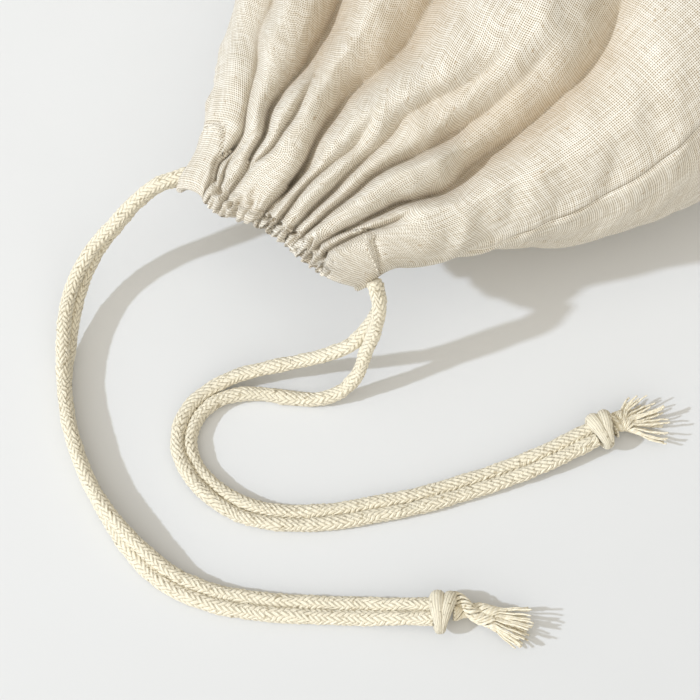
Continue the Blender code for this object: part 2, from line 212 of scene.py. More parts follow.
def add_skin(shape, points, uv, painted_shade_and_tone=None, lane=None):
    """Adds a grid to the shape and bends it onto rows of millimetre points.

    A skin that closes on itself repeats its first column at its end, to be welded there.
    """
    rows, columns = points.shape[:2]
    places = shape.loops.layers.uv.get("weave") or shape.loops.layers.uv.new("weave")
    numbers = [shape.verts.layers.float.get(name) or shape.verts.layers.float.new(name)
               for name in ("painted_shade_and_tone", "lane")]
    made = bmesh.ops.create_grid(shape, x_segments=columns - 1, y_segments=rows - 1, size=1.0)["verts"]
    shape.verts.index_update()
    first = made[0].index
    values = [(np.zeros((rows, columns)) if value is None else value).ravel().tolist()
              for value in (painted_shade_and_tone, lane)]
    pairs = (uv.reshape(-1, 2) * MM).tolist()
    for spot, place, *pair in zip(made, (points.reshape(-1, 3) * MM).tolist(), *values):
        spot.co = place
        for layer, value in zip(numbers, pair):
            spot[layer] = value
    for face in {face for spot in made for face in spot.link_faces}:
        for corner in face.loops:
            corner[places].uv = pairs[corner.vert.index - first]


def finish_piece(name, shape, material):
    """Welds what meets, turns the faces outwards and puts the piece in the scene."""
    bmesh.ops.remove_doubles(shape, verts=shape.verts, dist=WELD)
    bmesh.ops.recalc_face_normals(shape, faces=shape.faces)
    mesh = bpy.data.meshes.new(name)
    shape.to_mesh(mesh)
    shape.free()
    mesh.shade_smooth()
    mesh.materials.append(material)
    mesh.calc_loop_triangles()
    print(f"{name}: {len(mesh.loop_triangles)} triangles")
    return placed(mesh, name)


def dress(piece, node):
    """The piece rides on the bag's one body and stands for a CAD node, which it hides."""
    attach(piece, "root")
    if node:
        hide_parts(node)


# %% [markdown]
# ## Short ways to write shader nodes
# A material is a tree of nodes, and a long tree is hard to read when every node takes four lines.
# This class adds a node, feeds its inputs with a number or with another node's output, and hands
# back its result, so that a pattern can be written almost as a formula.

# %% Node helper
class Tree:
    """Short ways to add nodes to one node tree."""

    def __init__(self, tree):
        self.tree = tree

    def node(self, kind, **settings):
        made = self.tree.nodes.new(kind)
        for name, value in settings.items():
            setattr(made, name, value)
        return made

    def feed(self, socket, value):
        if isinstance(value, bpy.types.NodeSocket):
            self.tree.links.new(value, socket)
        else:
            socket.default_value = value

    def in_order(self, kind, values, **settings):
        """A node whose first inputs are fed in their order, and its outputs."""
        made = self.node(kind, **settings)
        for socket, value in zip(made.inputs, values):
            self.feed(socket, value)
        return made.outputs

    def by_name(self, made, **values):
        """Feeds a node's inputs by their names, and gives back its outputs."""
        for name, value in values.items():
            self.feed(made.inputs[name], value)
        return made.outputs

    def math(self, operation, *values):
        return self.in_order("ShaderNodeMath", values, operation=operation)[0]

    def times(self, one, other):
        return self.math("MULTIPLY", one, other)

    def plus(self, one, other):
        return self.math("ADD", one, other)

    def noise(self, vector, scale, detail=2.0):
        made = self.node("ShaderNodeTexNoise", noise_dimensions="3D")
        return self.by_name(made, Vector=vector, Scale=scale, Detail=detail)["Fac"]

    def split(self, vector):
        return self.in_order("ShaderNodeSeparateXYZ", (vector,))

    def join(self, x, y, z=0.0):
        return self.in_order("ShaderNodeCombineXYZ", (x, y, z))[0]

    def spread(self, value, low, high, new_low=0.0, new_high=1.0):
        """Remaps low..high to new_low..new_high, smoothly and clamped."""
        numbers = (value, low, high, new_low, new_high)
        return self.in_order("ShaderNodeMapRange", numbers, interpolation_type="SMOOTHSTEP")[0]

    def mix(self, share, one, other):
        """Mixes two colours. For them this node has inputs 0, 6 and 7 and output 2."""
        made = self.node("ShaderNodeMix", data_type="RGBA")
        for number, value in ((0, share), (6, one), (7, other)):
            self.feed(made.inputs[number], value)
        return made.outputs[2]

    def attribute(self, name):
        return self.node("ShaderNodeAttribute", attribute_name=name).outputs["Fac"]

    def group(self, group, **values):
        """Places a node group, fed by its inputs' names, and gives back its outputs."""
        return self.by_name(self.node("ShaderNodeGroup", node_tree=group), **values)


# %% [markdown]
# A pattern that is used more than once goes in a node group. Every material starts from the same
# matt surface. A cloth's pattern is read from the flat cloth or from the solid piece, and bump
# shades its finest relief.

# %% Groups and materials
SHEEN_ROUGHNESS, SHINE = 0.5, 0.2
MOST_NOISE = (0.3, 0.7)      # nearly all of a noise's values lie between these


def new_group(name, inputs, outputs):
    """A node group with named sockets, its tree, and the sockets inside it."""
    group = bpy.data.node_groups.new(name, "ShaderNodeTree")
    for label, kind, value in inputs:
        socket = group.interface.new_socket(label, in_out="INPUT", socket_type="NodeSocket" + kind)
        if value is not None:
            socket.default_value = value
    for label, kind in outputs:
        group.interface.new_socket(label, in_out="OUTPUT", socket_type="NodeSocket" + kind)
    tree = Tree(group)
    return group, tree, tree.node("NodeGroupInput").outputs, tree.node("NodeGroupOutput").inputs


def new_material(name, roughness, sheen):
    """A cloth-like surface with its plain values set on the shader's own sockets."""
    material = bpy.data.materials.new(name)
    material.use_nodes = True
    surface = material.node_tree.nodes["Principled BSDF"]
    for socket, value in (("Roughness", roughness), ("Sheen Weight", sheen),
                          ("Sheen Roughness", SHEEN_ROUGHNESS), ("Specular IOR Level", SHINE)):
        surface.inputs[socket].default_value = value
    return material, surface, Tree(material.node_tree)


def pattern_places(tree):
    """A point's place on the flat cloth, and its place in the solid piece."""
    flat = tree.node("ShaderNodeUVMap", uv_map="weave").outputs[0]
    return flat, tree.node("ShaderNodeTexCoord").outputs["Object"]


def bump(tree, surface, height, distance):
    """Shades the surface as if this height, 0 to 1, stood out by a distance in metres."""
    made = tree.node("ShaderNodeBump")
    made.inputs["Distance"].default_value = distance
    tree.feed(made.inputs["Height"], height)
    tree.feed(surface.inputs["Normal"], made.outputs["Normal"])


# %% [markdown]
# ## Two effects that every cloth here shares
# Cotton and linen are both made of fine fibres that lie along their thread and stand off as fuzz,
# and both look darker and warmer down in a crease, where light only comes after it has bounced
# from cloth to cloth. That shade is painted into their colour. Each effect is a node group, built
# once, and each material gives it its own scale and colours.

# %% Fibres and painted crease shade
FUZZ_SHARE = 0.4         # how much of the pattern is fuzz, beside the streaks
FIBRE_TONES = (0.45, 0.95)      # the pattern's values that become no tone and a full one
PAINTED_SHADE_TONES = (0.05, 1.0)      # the same for the painted shade value and the painted shade's colour


def fibre_group():
    """Streaks along V of the place, and fuzz all over, as a tone and a height."""
    group, tree, given, result = new_group(
        "fibres",
        (("Place", "Vector", None), ("Solid", "Vector", None), ("Across", "Float", 2500.0),
         ("Along", "Float", 200.0), ("Fuzz", "Float", 2000.0)),
        (("Tone", "Float"), ("Height", "Float")))
    u, v, _ = tree.split(given["Place"])
    streak = tree.noise(tree.join(tree.times(u, given["Across"]), tree.times(v, given["Along"])), 1.0)
    fuzz = tree.noise(given["Solid"], given["Fuzz"])
    both = tree.plus(streak, tree.times(fuzz, FUZZ_SHARE))
    tree.feed(result["Tone"], tree.spread(both, *FIBRE_TONES))
    tree.feed(result["Height"],
              tree.plus(tree.times(streak, 1.0 - FUZZ_SHARE), tree.times(fuzz, FUZZ_SHARE)))
    return group


def painted_shade_group():
    """Paints shade: mixes the shade colour in where the piece's own painted shade value is high."""
    group, tree, given, result = new_group(
        "painted_shade_mix",
        (("Colour", "Color", None), ("Crease", "Color", None), ("Sunk", "Float", 0.0),
         ("Most", "Float", 0.7)),
        (("Colour", "Color"),))
    share = tree.times(tree.spread(given["Sunk"], *PAINTED_SHADE_TONES), given["Most"])
    tree.feed(result["Colour"], tree.mix(share, given["Colour"], given["Crease"]))
    return group


FIBRES, PAINTED_SHADE_MIX = fibre_group(), painted_shade_group()

# %% [markdown]
# ## Linen, a plain weave with holes
# Linen thread is stiff and uneven, so the weave is open: each thread goes over one and under the
# next, and a tiny dark hole shows where four of them meet. An image could show it, but it would
# blur close up. Here two sine waves set the threads, their product says which is on top, noise
# lets them wander and swell into slubs, and the same height both shades and colours the cloth.

# %% The weave
THREAD = 0.79            # from one thread to the next
WANDER_QUICK, WANDER_SLOW, WANDER = 0.05, 0.015, 1.3    # a thread's wander: across, along, how far
SLUB_LONG = 0.06         # slubs change this much more slowly along their thread
CROSSING_LOW = 0.45      # how high a thread still is where it meets the gap beside the next
OVER_SOFT = 0.35         # how softly a thread goes from over to under
SWELLING = (0.25, 0.75, 0.7, 1.2)    # slub noise from, to, gives a thread's height from, to
HOLE_CLOSING = (0.35, 0.62, 1.5, 0.7)    # slub noise from, to, gives a hole's size from, to
HOLE_EDGES = (0.05, 0.26)    # this open is still thread, and this open is all hole
WANDER_LAYER, SLUB_LAYER = 7.0, 3.0      # layers of the noise, so that no two threads' repeat


def weave_group():
    """A plain weave on a place in metres: its height, its holes and its threads' swelling."""
    group, tree, given, result = new_group(
        "plain_weave", (("Place", "Vector", None), ("Pitch", "Float", THREAD * MM)),
        (("Height", "Float"), ("Hole", "Float"), ("Slub", "Float"), ("Place", "Vector")))
    u, v, _ = tree.split(given["Place"])
    u, v = tree.math("DIVIDE", u, given["Pitch"]), tree.math("DIVIDE", v, given["Pitch"])
    quick_u, slow_u = tree.times(u, WANDER_QUICK), tree.times(u, WANDER_SLOW)
    quick_v, slow_v = tree.times(v, WANDER_QUICK), tree.times(v, WANDER_SLOW)
    wander_u = tree.noise(tree.join(quick_u, slow_v), 1.0, 1.0)
    wander_v = tree.noise(tree.join(slow_u, quick_v, WANDER_LAYER), 1.0, 1.0)
    u, v = tree.plus(u, tree.times(wander_u, WANDER)), tree.plus(v, tree.times(wander_v, WANDER))
    slub_u = tree.noise(tree.join(u, tree.times(v, SLUB_LONG)), 1.0, 1.0)
    slub_v = tree.noise(tree.join(tree.times(u, SLUB_LONG), v, SLUB_LAYER), 1.0, 1.0)
    wave_u, wave_v = (tree.math("SINE", tree.times(w, math.pi)) for w in (u, v))
    over = tree.spread(tree.times(wave_u, wave_v), -OVER_SOFT, OVER_SOFT)
    round_u, round_v = (tree.math("ABSOLUTE", w) for w in (wave_u, wave_v))
    warp = tree.times(round_u, tree.plus(CROSSING_LOW, tree.times(round_v, 1.0 - CROSSING_LOW)))
    weft = tree.times(round_v, tree.plus(CROSSING_LOW, tree.times(round_u, 1.0 - CROSSING_LOW)))
    warp = tree.times(warp, tree.spread(slub_u, *SWELLING))
    weft = tree.times(weft, tree.spread(slub_v, *SWELLING))
    height = tree.plus(tree.times(warp, over), tree.times(weft, tree.math("SUBTRACT", 1.0, over)))
    open_u, open_v = (tree.math("SUBTRACT", 1.0, r) for r in (round_u, round_v))
    slub = tree.times(tree.plus(slub_u, slub_v), 0.5)
    hole = tree.times(tree.times(open_u, open_v), tree.spread(slub, *HOLE_CLOSING))
    for name, value in (("Height", height), ("Hole", tree.spread(hole, *HOLE_EDGES)),
                        ("Slub", slub), ("Place", tree.join(u, v))):
        tree.feed(result[name], value)
    return group


WEAVE = weave_group()
print("linen threads to the centimetre:", round(10.0 / THREAD, 1))

# %% [markdown]
# The material lays one colour over another: pale or tan by how thick the thread is, slow patches
# of tan, the fibres' tone, the holes, a few dark flecks, and last painted shade in the creases. The
# weave's height and a little of the fibres' shade it.

# %% Linen
LINEN_PALE = (0.835, 0.80, 0.72, 1.0)
LINEN_TAN = (0.73, 0.675, 0.57, 1.0)
LINEN_HOLE = (0.22, 0.16, 0.09, 1.0)
# painted shade: the darker, warmer colour of the cloth down in a crease
LINEN_PAINTED_SHADE = (0.46, 0.33, 0.19, 1.0)
LINEN_FLECK = (0.34, 0.24, 0.13, 1.0)
LINEN_TONES = (0.38, 0.62)           # slub noise at which a thread is all tan, and all pale
LINEN_PATCHES = (24.0, 0.25)         # slow patches of tan: to the metre, and how strong
FLECK_LONG, FLECK_LAYER = (0.5, 0.32), 11.0    # a fleck's noise to the thread: across, along
LINEN_FLECKS = (0.75, 0.82, 0.0, 0.5)    # flecks where this noise is high, and how strong
# the last is how much of that painted shade the deepest crease gets
FIBRE_TAN, HOLE_DARK, LINEN_PAINTED_SHADE_MOST = 0.22, 0.9, 0.42
LINEN_BUMP, FIBRE_BUMP = 0.00007, 0.2    # the weave's height in metres, and the fibres' share of it


def linen_material():
    """The bag's cloth: woven, patched with tan, flecked, and with painted shade in its creases."""
    material, surface, tree = new_material("linen", roughness=0.92, sheen=0.12)
    place, solid = pattern_places(tree)
    weave = tree.group(WEAVE, Place=place)
    fibres = tree.group(FIBRES, Place=place, Solid=solid, Across=3000.0, Along=3000.0, Fuzz=2600.0)
    u, v, _ = tree.split(weave["Place"])
    long_u, long_v = (tree.times(w, by) for w, by in zip((u, v), FLECK_LONG))
    fleck = tree.noise(tree.join(long_u, long_v, FLECK_LAYER), 1.0, 0.0)
    colour = tree.mix(tree.spread(weave["Slub"], *LINEN_TONES), LINEN_TAN, LINEN_PALE)
    patches, strong = LINEN_PATCHES
    patch = tree.spread(tree.noise(solid, patches), *MOST_NOISE, 0.0, strong)
    colour = tree.mix(patch, colour, LINEN_TAN)
    colour = tree.mix(tree.times(fibres["Tone"], FIBRE_TAN), colour, LINEN_TAN)
    colour = tree.mix(tree.times(weave["Hole"], HOLE_DARK), colour, LINEN_HOLE)
    colour = tree.mix(tree.spread(fleck, *LINEN_FLECKS), colour, LINEN_FLECK)
    # painted shade, darker and warmer where the cloth lies deep in a crease or slit
    colour = tree.group(PAINTED_SHADE_MIX, Colour=colour, Crease=LINEN_PAINTED_SHADE, Sunk=tree.attribute("painted_shade_and_tone"),
                        Most=LINEN_PAINTED_SHADE_MOST)["Colour"]
    tree.feed(surface.inputs["Base Color"], colour)
    height = tree.plus(weave["Height"], tree.times(fibres["Height"], FIBRE_BUMP))
    bump(tree, surface, height, LINEN_BUMP)
    return material


LINEN = linen_material()

# %% [markdown]
# ## Cotton, in a braid, in loose yarns and in sewing thread
# The cords' cotton is creamier than the linen and has no weave of its own: its pattern is in the
# mesh, and the material adds the fine lines of the yarns in each strand. They follow the "lane",
# so they turn with the strand. Painted shade darkens the gaps between strands, and scattered dark
# specks of painted shade stand for small gaps in the braid.

# %% Cotton
COTTON_PALE = (0.87, 0.82, 0.68, 1.0)
COTTON_TAN = (0.74, 0.64, 0.45, 1.0)
# painted shade: the colour of the gaps between strands and of the dark specks
COTTON_PAINTED_SHADE = (0.30, 0.23, 0.12, 1.0)
THREAD_PALE = (0.90, 0.85, 0.74, 1.0)
# how much of that painted shade the deepest gap gets
COTTON_PAINTED_SHADE_MOST = 0.75
COTTON_SHADE_SPECKS = (520.0, 0.66, 0.71, 0.0, 0.6)    # dark specks of painted shade for small gaps in the braid: to the metre, where the noise is high, how strong
LINE_TONE, LINE_BUMP = 0.45, 0.3     # how much the fine yarns colour the strand, and stand out
LINE_EDGES = (-0.9, 0.5, 1.0, 0.0)   # their wave from, to, gives the line between them from, to
LINE_BROKEN, FIBRE_TONE = 0.8, 0.35  # how much the fibres break that line, and colour the strand
COTTON_BUMP = 0.00016                # in metres


def cotton_material(name, pale, tan, painted_shade_colour, lanes):
    """Cotton with this many fine yarns across each strand, and painted shade in its gaps."""
    material, surface, tree = new_material(name, roughness=0.9, sheen=0.18)
    place, solid = pattern_places(tree)
    fibres = tree.group(FIBRES, Place=place, Solid=solid, Across=1800.0, Along=260.0, Fuzz=1700.0)
    wave = tree.math("SINE", tree.times(tree.attribute("lane"), 2.0 * math.pi * lanes))
    line = tree.spread(tree.plus(wave, tree.times(fibres["Tone"], LINE_BROKEN)), *LINE_EDGES)
    tone = tree.plus(tree.times(fibres["Tone"], FIBRE_TONE), tree.times(line, LINE_TONE))
    colour = tree.mix(tone, pale, tan)
    # painted shade in the gaps between strands and yarns
    colour = tree.group(PAINTED_SHADE_MIX, Colour=colour, Crease=painted_shade_colour, Sunk=tree.attribute("painted_shade_and_tone"),
                        Most=COTTON_PAINTED_SHADE_MOST)["Colour"]
    # scattered dark specks of painted shade, for small gaps in the braid
    specks, *strong = COTTON_SHADE_SPECKS
    colour = tree.mix(tree.spread(tree.noise(solid, specks, 1.0), *strong), colour, painted_shade_colour)
    tree.feed(surface.inputs["Base Color"], colour)
    bump(tree, surface, tree.plus(fibres["Height"], tree.times(wave, LINE_BUMP)), COTTON_BUMP)
    return material


BRAID = cotton_material("cotton_braid", COTTON_PALE, COTTON_TAN, COTTON_PAINTED_SHADE, lanes=2)
YARN = cotton_material("cotton_yarn", COTTON_PALE, COTTON_TAN, COTTON_PAINTED_SHADE, lanes=1)
SEWING = cotton_material("sewing_thread", THREAD_PALE, COTTON_PALE, COTTON_PAINTED_SHADE, lanes=2)

# %% [markdown]
# ## The pale surface
# It only carries the bag and its shadow, so one plate does. It has a faint grain, and painted
# shade that darkens it slowly toward one side, as light that falls off there would.

# %% Surface
# the floor's own tone, and the darker painted shade that it falls to toward one side
FLOOR_NEAR, FLOOR_FAR_PAINTED_SHADE = (0.715, 0.72, 0.725, 1.0), (0.64, 0.645, 0.65, 1.0)
FLOOR_GRAIN = (0.69, 0.69, 0.69, 1.0)
PAINTED_FALLOFF = (-0.03, 0.27)    # from where to where painted shade darkens the floor, in metres toward its heading
PAINTED_FALLOFF_HEADING, PAINTED_FALLOFF_FROM = -12.0, 0.17    # counted from this far in front of the origin
GRAINS, GRAIN_STRENGTH = 35.0, 0.12
PLATE = 2.5                   # half the plate's side, in metres


def floor_material():
    """A matt pale surface, with painted shade that darkens it slowly toward one side."""
    material, surface, tree = new_material("pale_surface", roughness=0.6, sheen=0.0)
    solid = tree.node("ShaderNodeTexCoord").outputs["Object"]
    x, y, _ = tree.split(solid)
    ahead = heading(PAINTED_FALLOFF_HEADING, 0.0)
    away = tree.plus(tree.times(x, ahead.x), tree.times(tree.plus(y, PAINTED_FALLOFF_FROM), ahead.y))
    # painted shade, darker away toward one side
    colour = tree.mix(tree.spread(away, *PAINTED_FALLOFF), FLOOR_NEAR, FLOOR_FAR_PAINTED_SHADE)
    grain = tree.spread(tree.noise(solid, GRAINS), *MOST_NOISE, 0.0, GRAIN_STRENGTH)
    colour = tree.mix(grain, colour, FLOOR_GRAIN)
    tree.feed(surface.inputs["Base Color"], colour)
    return material


plate = bmesh.new()
bmesh.ops.create_grid(plate, x_segments=1, y_segments=1, size=PLATE)
floor = finish_piece("floor", plate, floor_material())

# %% [markdown]
# ## The drawstrings' free ends
# Each route follows its CAD cord, within a few millimetres. A braid like this has two families of
# strands that wind against each other, and each passes over two and under two, which shows as
# chevrons in columns along the cord. Real strands would cross thousands of times, so the cord is
# one tube whose surface rises and sinks as the strands do.

# %% Routes of the cords
CORD = 5.0               # the CAD cord's diameter
CORD_ROUTES = {
    "cord_left_upper": (
        (-42.5, -174.0, 47.5), (-47.9, -180.8, 44.5), (-51.9, -188.4, 38.5), (-54.8, -198.1, 31.0),
        (-57.7, -207.1, 23.5), (-58.0, -214.5, 18.5), (-56.0, -223.5, 14.0), (-51.5, -232.0, 11.5),
        (-45.5, -239.5, 9.2), (-38.0, -247.5, 8.0), (-27.0, -257.5, 8.0), (-13.5, -266.5, 8.0),
        (1.5, -273.5, 8.0), (16.5, -277.0, 8.0), (30.5, -277.8, 6.5), (43.7, -276.8, 4.0),
        (57.5, -272.3, 2.7), (72.5, -263.8, 2.7), (88.0, -252.3, 2.7), (103.0, -240.8, 3.5),
        (111.0, -234.8, 5.2), (117.0, -230.0, 6.0)),
    "cord_left_lower": (
        (-43.0, -172.3, 42.6), (-49.2, -179.2, 39.8), (-53.2, -186.8, 33.8), (-55.8, -196.5, 26.2),
        (-57.6, -205.3, 18.7), (-57.0, -212.4, 13.9), (-54.2, -221.0, 9.8), (-50.1, -229.1, 7.0),
        (-45.0, -236.9, 4.6), (-38.0, -247.5, 2.6), (-27.0, -257.5, 2.6), (-13.5, -266.5, 2.6),
        (1.5, -273.5, 2.6), (16.2, -278.8, 2.6), (29.5, -282.3, 2.8), (44.0, -282.7, 2.6),
        (60.2, -277.7, 2.6), (75.7, -268.7, 2.6), (91.5, -257.2, 2.6), (106.5, -245.5, 3.5),
        (114.5, -239.3, 5.2), (120.7, -234.7, 6.0)),
    "cord_right_front": (
        (41.0, -165.8, 53.4), (44.8, -168.2, 48.5), (46.2, -171.2, 38.5), (46.7, -175.3, 27.0),
        (46.5, -179.0, 18.0), (45.5, -183.5, 10.0), (43.0, -189.0, 5.0), (38.5, -194.5, 3.0),
        (30.5, -200.5, 2.6), (21.5, -206.2, 2.6), (15.3, -213.0, 2.6), (11.3, -221.5, 2.6),
        (11.6, -230.0, 2.6), (15.2, -237.2, 2.6), (22.7, -241.8, 2.6), (32.5, -243.0, 2.6),
        (44.5, -240.8, 2.6), (55.0, -235.5, 2.6), (66.7, -225.8, 2.6), (76.5, -215.2, 2.6),
        (86.3, -203.2, 2.6), (95.8, -189.2, 2.6), (105.8, -173.2, 3.0), (114.7, -157.0, 5.1),
        (120.6, -143.3, 6.0)),
    "cord_right_back": (
        (40.6, -163.8, 47.4), (42.4, -164.8, 43.5), (42.4, -166.6, 37.5), (41.8, -169.7, 32.0),
        (40.3, -174.0, 27.5), (38.0, -179.0, 22.5), (33.5, -183.8, 17.0), (26.5, -190.0, 12.0),
        (18.0, -199.0, 9.2), (9.5, -208.5, 6.8), (5.0, -217.5, 5.0), (3.9, -227.0, 4.4),
        (6.4, -235.5, 4.4), (12.5, -242.6, 4.4), (21.5, -246.8, 4.2), (33.0, -248.8, 3.8),
        (45.5, -247.5, 2.8), (56.2, -242.5, 2.6), (66.2, -235.0, 2.6), (75.7, -225.3, 2.6),
        (84.2, -214.3, 2.6), (91.7, -205.3, 2.6), (100.7, -191.7, 2.6), (110.7, -175.5, 3.0),
        (119.5, -159.5, 5.1), (125.4, -146.2, 6.0)),
}
for node, route in CORD_ROUTES.items():
    print(f"{node}: {run_lengths(even_line(route, 1.0))[-1]:.1f} mm")

# %% [markdown]
# A tube needs two directions across its line at every ring. They are carried along from ring to
# ring and turned as little as possible, or the braid would twist wherever the cord bends.

# %% Tubes with a pattern on them
UPRIGHT = 0.1            # a line whose level part is shorter than this counts as upright
GROUND = 0.02            # no point of a tube lies lower


def line_frames(line):
    """Two unit vectors across a line at each point, turned as little as possible along it."""
    ahead = unit(np.gradient(line, axis=0))
    side = np.cross(ahead[0], (0.0, 0.0, 1.0))
    if np.linalg.norm(side) < UPRIGHT:
        side = np.cross(ahead[0], (0.0, 1.0, 0.0))
    sides = []
    for forward in ahead:
        side = side - forward * np.dot(side, forward)
        side = side / np.linalg.norm(side)
        sides.append(side)
    sides = np.array(sides)
    return sides, np.cross(sides, ahead)


def add_tube(shape, line, radius, turn, painted_shade_and_tone, lane, wide=1.0):
    """Adds a tube round a line. radius, painted shade and lane have a row for each ring.

    turn holds the angles round it, and wide stretches it level.
    """
    sides, ups = line_frames(line)
    wide = np.broadcast_to(wide, len(line))[:, None, None]
    rings = (line[:, None] + radius[..., None] * (wide * np.cos(turn)[None, :, None] * sides[:, None]
                                                  + np.sin(turn)[None, :, None] * ups[:, None]))
    rings[..., 2] = np.maximum(rings[..., 2], GROUND)
    caps = [end[:, None].repeat(len(turn), 1) for end in (rings[:1].mean(1), rings[-1:].mean(1))]
    rings = np.concatenate([caps[0], rings, caps[1]])
    edge = ((1, 1), (0, 0))
    run = np.pad(run_lengths(line), 1, mode="edge")
    uv = np.stack(np.broadcast_arrays(turn[None, :] * radius.mean(), run[:, None]), axis=2)
    add_skin(shape, rings, uv, np.pad(painted_shade_and_tone, edge, mode="edge"), np.pad(lane, edge, mode="edge"))


def uneven(chance, run, spacing, amount):
    """A slow random change along a run, with a new value every spacing."""
    values = max(4, int(run[-1] / spacing))
    return np.interp(run, np.linspace(0.0, run[-1], values), chance.uniform(-amount, amount, values))


# %% [markdown]
# The braid's relief comes from two counts of strands, one for each family, that grow round the
# cord and grow or shrink along it. Where the whole parts of both counts add up to 0 or 1 of every
# 4, the first family lies on top, and where to 2 or 3, the other.

# %% The braid
STRANDS = 9              # in each family
BRAID_PITCH = 2.35       # a strand's move along the cord while it passes one of the others
BRAID_DEEP = 0.5         # the groove between strands
STRAND_ROUND = 0.6       # the power of a strand's rounding: 1 is a sine wave, less is flatter on top
LEAST_HIGH = 0.6         # where a strand shows on top, it is from this high to 1
SCATTER = (12.9898, 437.585)    # large odd numbers that turn a leaf's number into a random height


def braid_relief(around, along):
    """Height of the braid, from 0 in the gaps to 1, and the place across the strand on top."""
    one, other = around + along, around - along
    layer = (np.floor(one) + np.floor(other)) % 4
    first_on_top = layer < 2
    lane = np.where(first_on_top, one, other) % 1.0
    float_run = np.where(first_on_top, (np.floor(one) + other) % 4, (one + np.floor(other)) % 4 - 2.0)
    leaf = np.where(first_on_top, np.floor(one) + 7.0 * np.floor((other + np.floor(one)) / 4),
                    31.0 + np.floor(other) + 7.0 * np.floor((one + np.floor(other) - 2.0) / 4))
    slack = LEAST_HIGH + (1.0 - LEAST_HIGH) * (np.sin(leaf * SCATTER[0]) * SCATTER[1] % 1.0)
    across = np.sin(math.pi * lane) ** STRAND_ROUND
    lengthwise = 0.5 + 0.5 * np.abs(np.sin(math.pi * float_run / 2.0)) ** STRAND_ROUND
    return slack * across * lengthwise, lane


# %% [markdown]
# The two cords of a pair lie side by side for most of their way, so each is drawn toward the other
# where they are near. At both ends a cord also runs on a little, into its casing and its knot.

# %% Side by side
TOUCH = 4.8              # two cords side by side press together to this distance
APART = (7.0, 3.0)       # they do up to the first gap, and let go of each other over the second
NESTLE_OVER = 31         # rings that share one move, so that the line stays smooth


def longer(line, before, after):
    """The line with a straight piece added at each end, in its own direction."""
    step = np.linalg.norm(line[1] - line[0])
    head = [line[0] + (line[0] - line[1]) * k for k in range(int(before / step), 0, -1)]
    tail = [line[-1] + (line[-1] - line[-2]) * k for k in range(1, int(after / step) + 1)]
    return np.array(head + list(line) + tail)


def nestled(line, other):
    """The line, drawn toward the other cord of its pair where the two lie side by side."""
    gaps = other[np.linalg.norm(line[:, None] - other[None], axis=2).argmin(axis=1)] - line
    apart = np.linalg.norm(gaps, axis=1, keepdims=True)
    pull = (apart - TOUCH) / 2 / apart * (1.0 - fade(apart, *APART))
    window = np.ones(NESTLE_OVER) / NESTLE_OVER
    moves = np.stack([np.convolve(np.pad(side, NESTLE_OVER // 2, mode="edge"), window, mode="valid")
                      for side in (gaps * pull).T], axis=1)
    return line + moves


# %% The cords
CORD_ROUND, CORD_STEP = 72, 0.32
CORD_PROUD = 0.2         # strands stand this far outside the CAD cord
CORD_ENDS = (3.0, 3.5)   # the cord runs this far on into its casing and into its knot
FUZZ = 0.06              # the size of single fibres' unevenness
LYING = (2.8, 4.2, 0.10)    # below and above these heights a cord lies flat or hangs free; its spread
RIPPLE, RIPPLE_LONG = 0.22, 2.3      # strands slide round the cord this much, over this run
CORD_UNEVEN = {          # slow changes along the cord: over what run, and how much
    "ripple": (5.0, 1.0), "around": (8.0, 0.6), "along": (6.0, 0.3), "swell": (3.0, 0.06)}
GAP_PAINTED_SHADE = 2.6           # the larger, the narrower the painted shade in the gaps between strands
CORD_SEED, KNOT_SEED, TASSEL_SEED = 11, 31, 41


def with_fuzz(radius, chance):
    """Rings of radii, each roughened a little and closed on its first value."""
    rings, columns = radius.shape
    radius[:, :-1] += chance.normal(0.0, FUZZ, (rings, columns - 1))
    radius[:, -1] = radius[:, 0]
    return radius


def build_cord(node, partner, seed):
    """One free end of a drawstring, braided, in its CAD cord's place, and its middle line."""
    chance = np.random.default_rng(seed)
    line = nestled(even_line(CORD_ROUTES[node], CORD_STEP), even_line(CORD_ROUTES[partner], CORD_STEP))
    line = longer(line, *CORD_ENDS)
    run = run_lengths(line)
    turn = whole_turn(CORD_ROUND)
    change = {name: uneven(chance, run, *sizes)[:, None] for name, sizes in CORD_UNEVEN.items()}
    ripple = RIPPLE * np.sin(3.0 * turn[None, :] + run[:, None] / RIPPLE_LONG) * change["ripple"]
    around = STRANDS * turn[None, :] / (2.0 * math.pi) + change["around"] + ripple
    along = run[:, None] / BRAID_PITCH + change["along"] - ripple
    height, lane = braid_relief(around, along)
    swell = 1.0 + change["swell"]
    radius = with_fuzz((CORD / 2 + CORD_PROUD) * swell - BRAID_DEEP * (1.0 - height), chance)
    low, high, spread = LYING
    wide = 1.0 + spread * (1.0 - fade(line[:, 2], low, high - low))
    cord = bmesh.new()
    # the gaps between strands get painted shade
    add_tube(cord, line, radius, turn, (1.0 - height) ** GAP_PAINTED_SHADE, lane, wide)
    piece = finish_piece(node.replace("cord", "drawstring"), cord, BRAID)
    dress(piece, node)
    return piece, line


PAIRS = (("cord_left_upper", "cord_left_lower"), ("cord_right_front", "cord_right_back"))
PARTNERS = {node: partner for pair in PAIRS for node, partner in (pair, pair[::-1])}
cords = {node: build_cord(node, PARTNERS[node], CORD_SEED + number)
         for number, node in enumerate(CORD_ROUTES)}

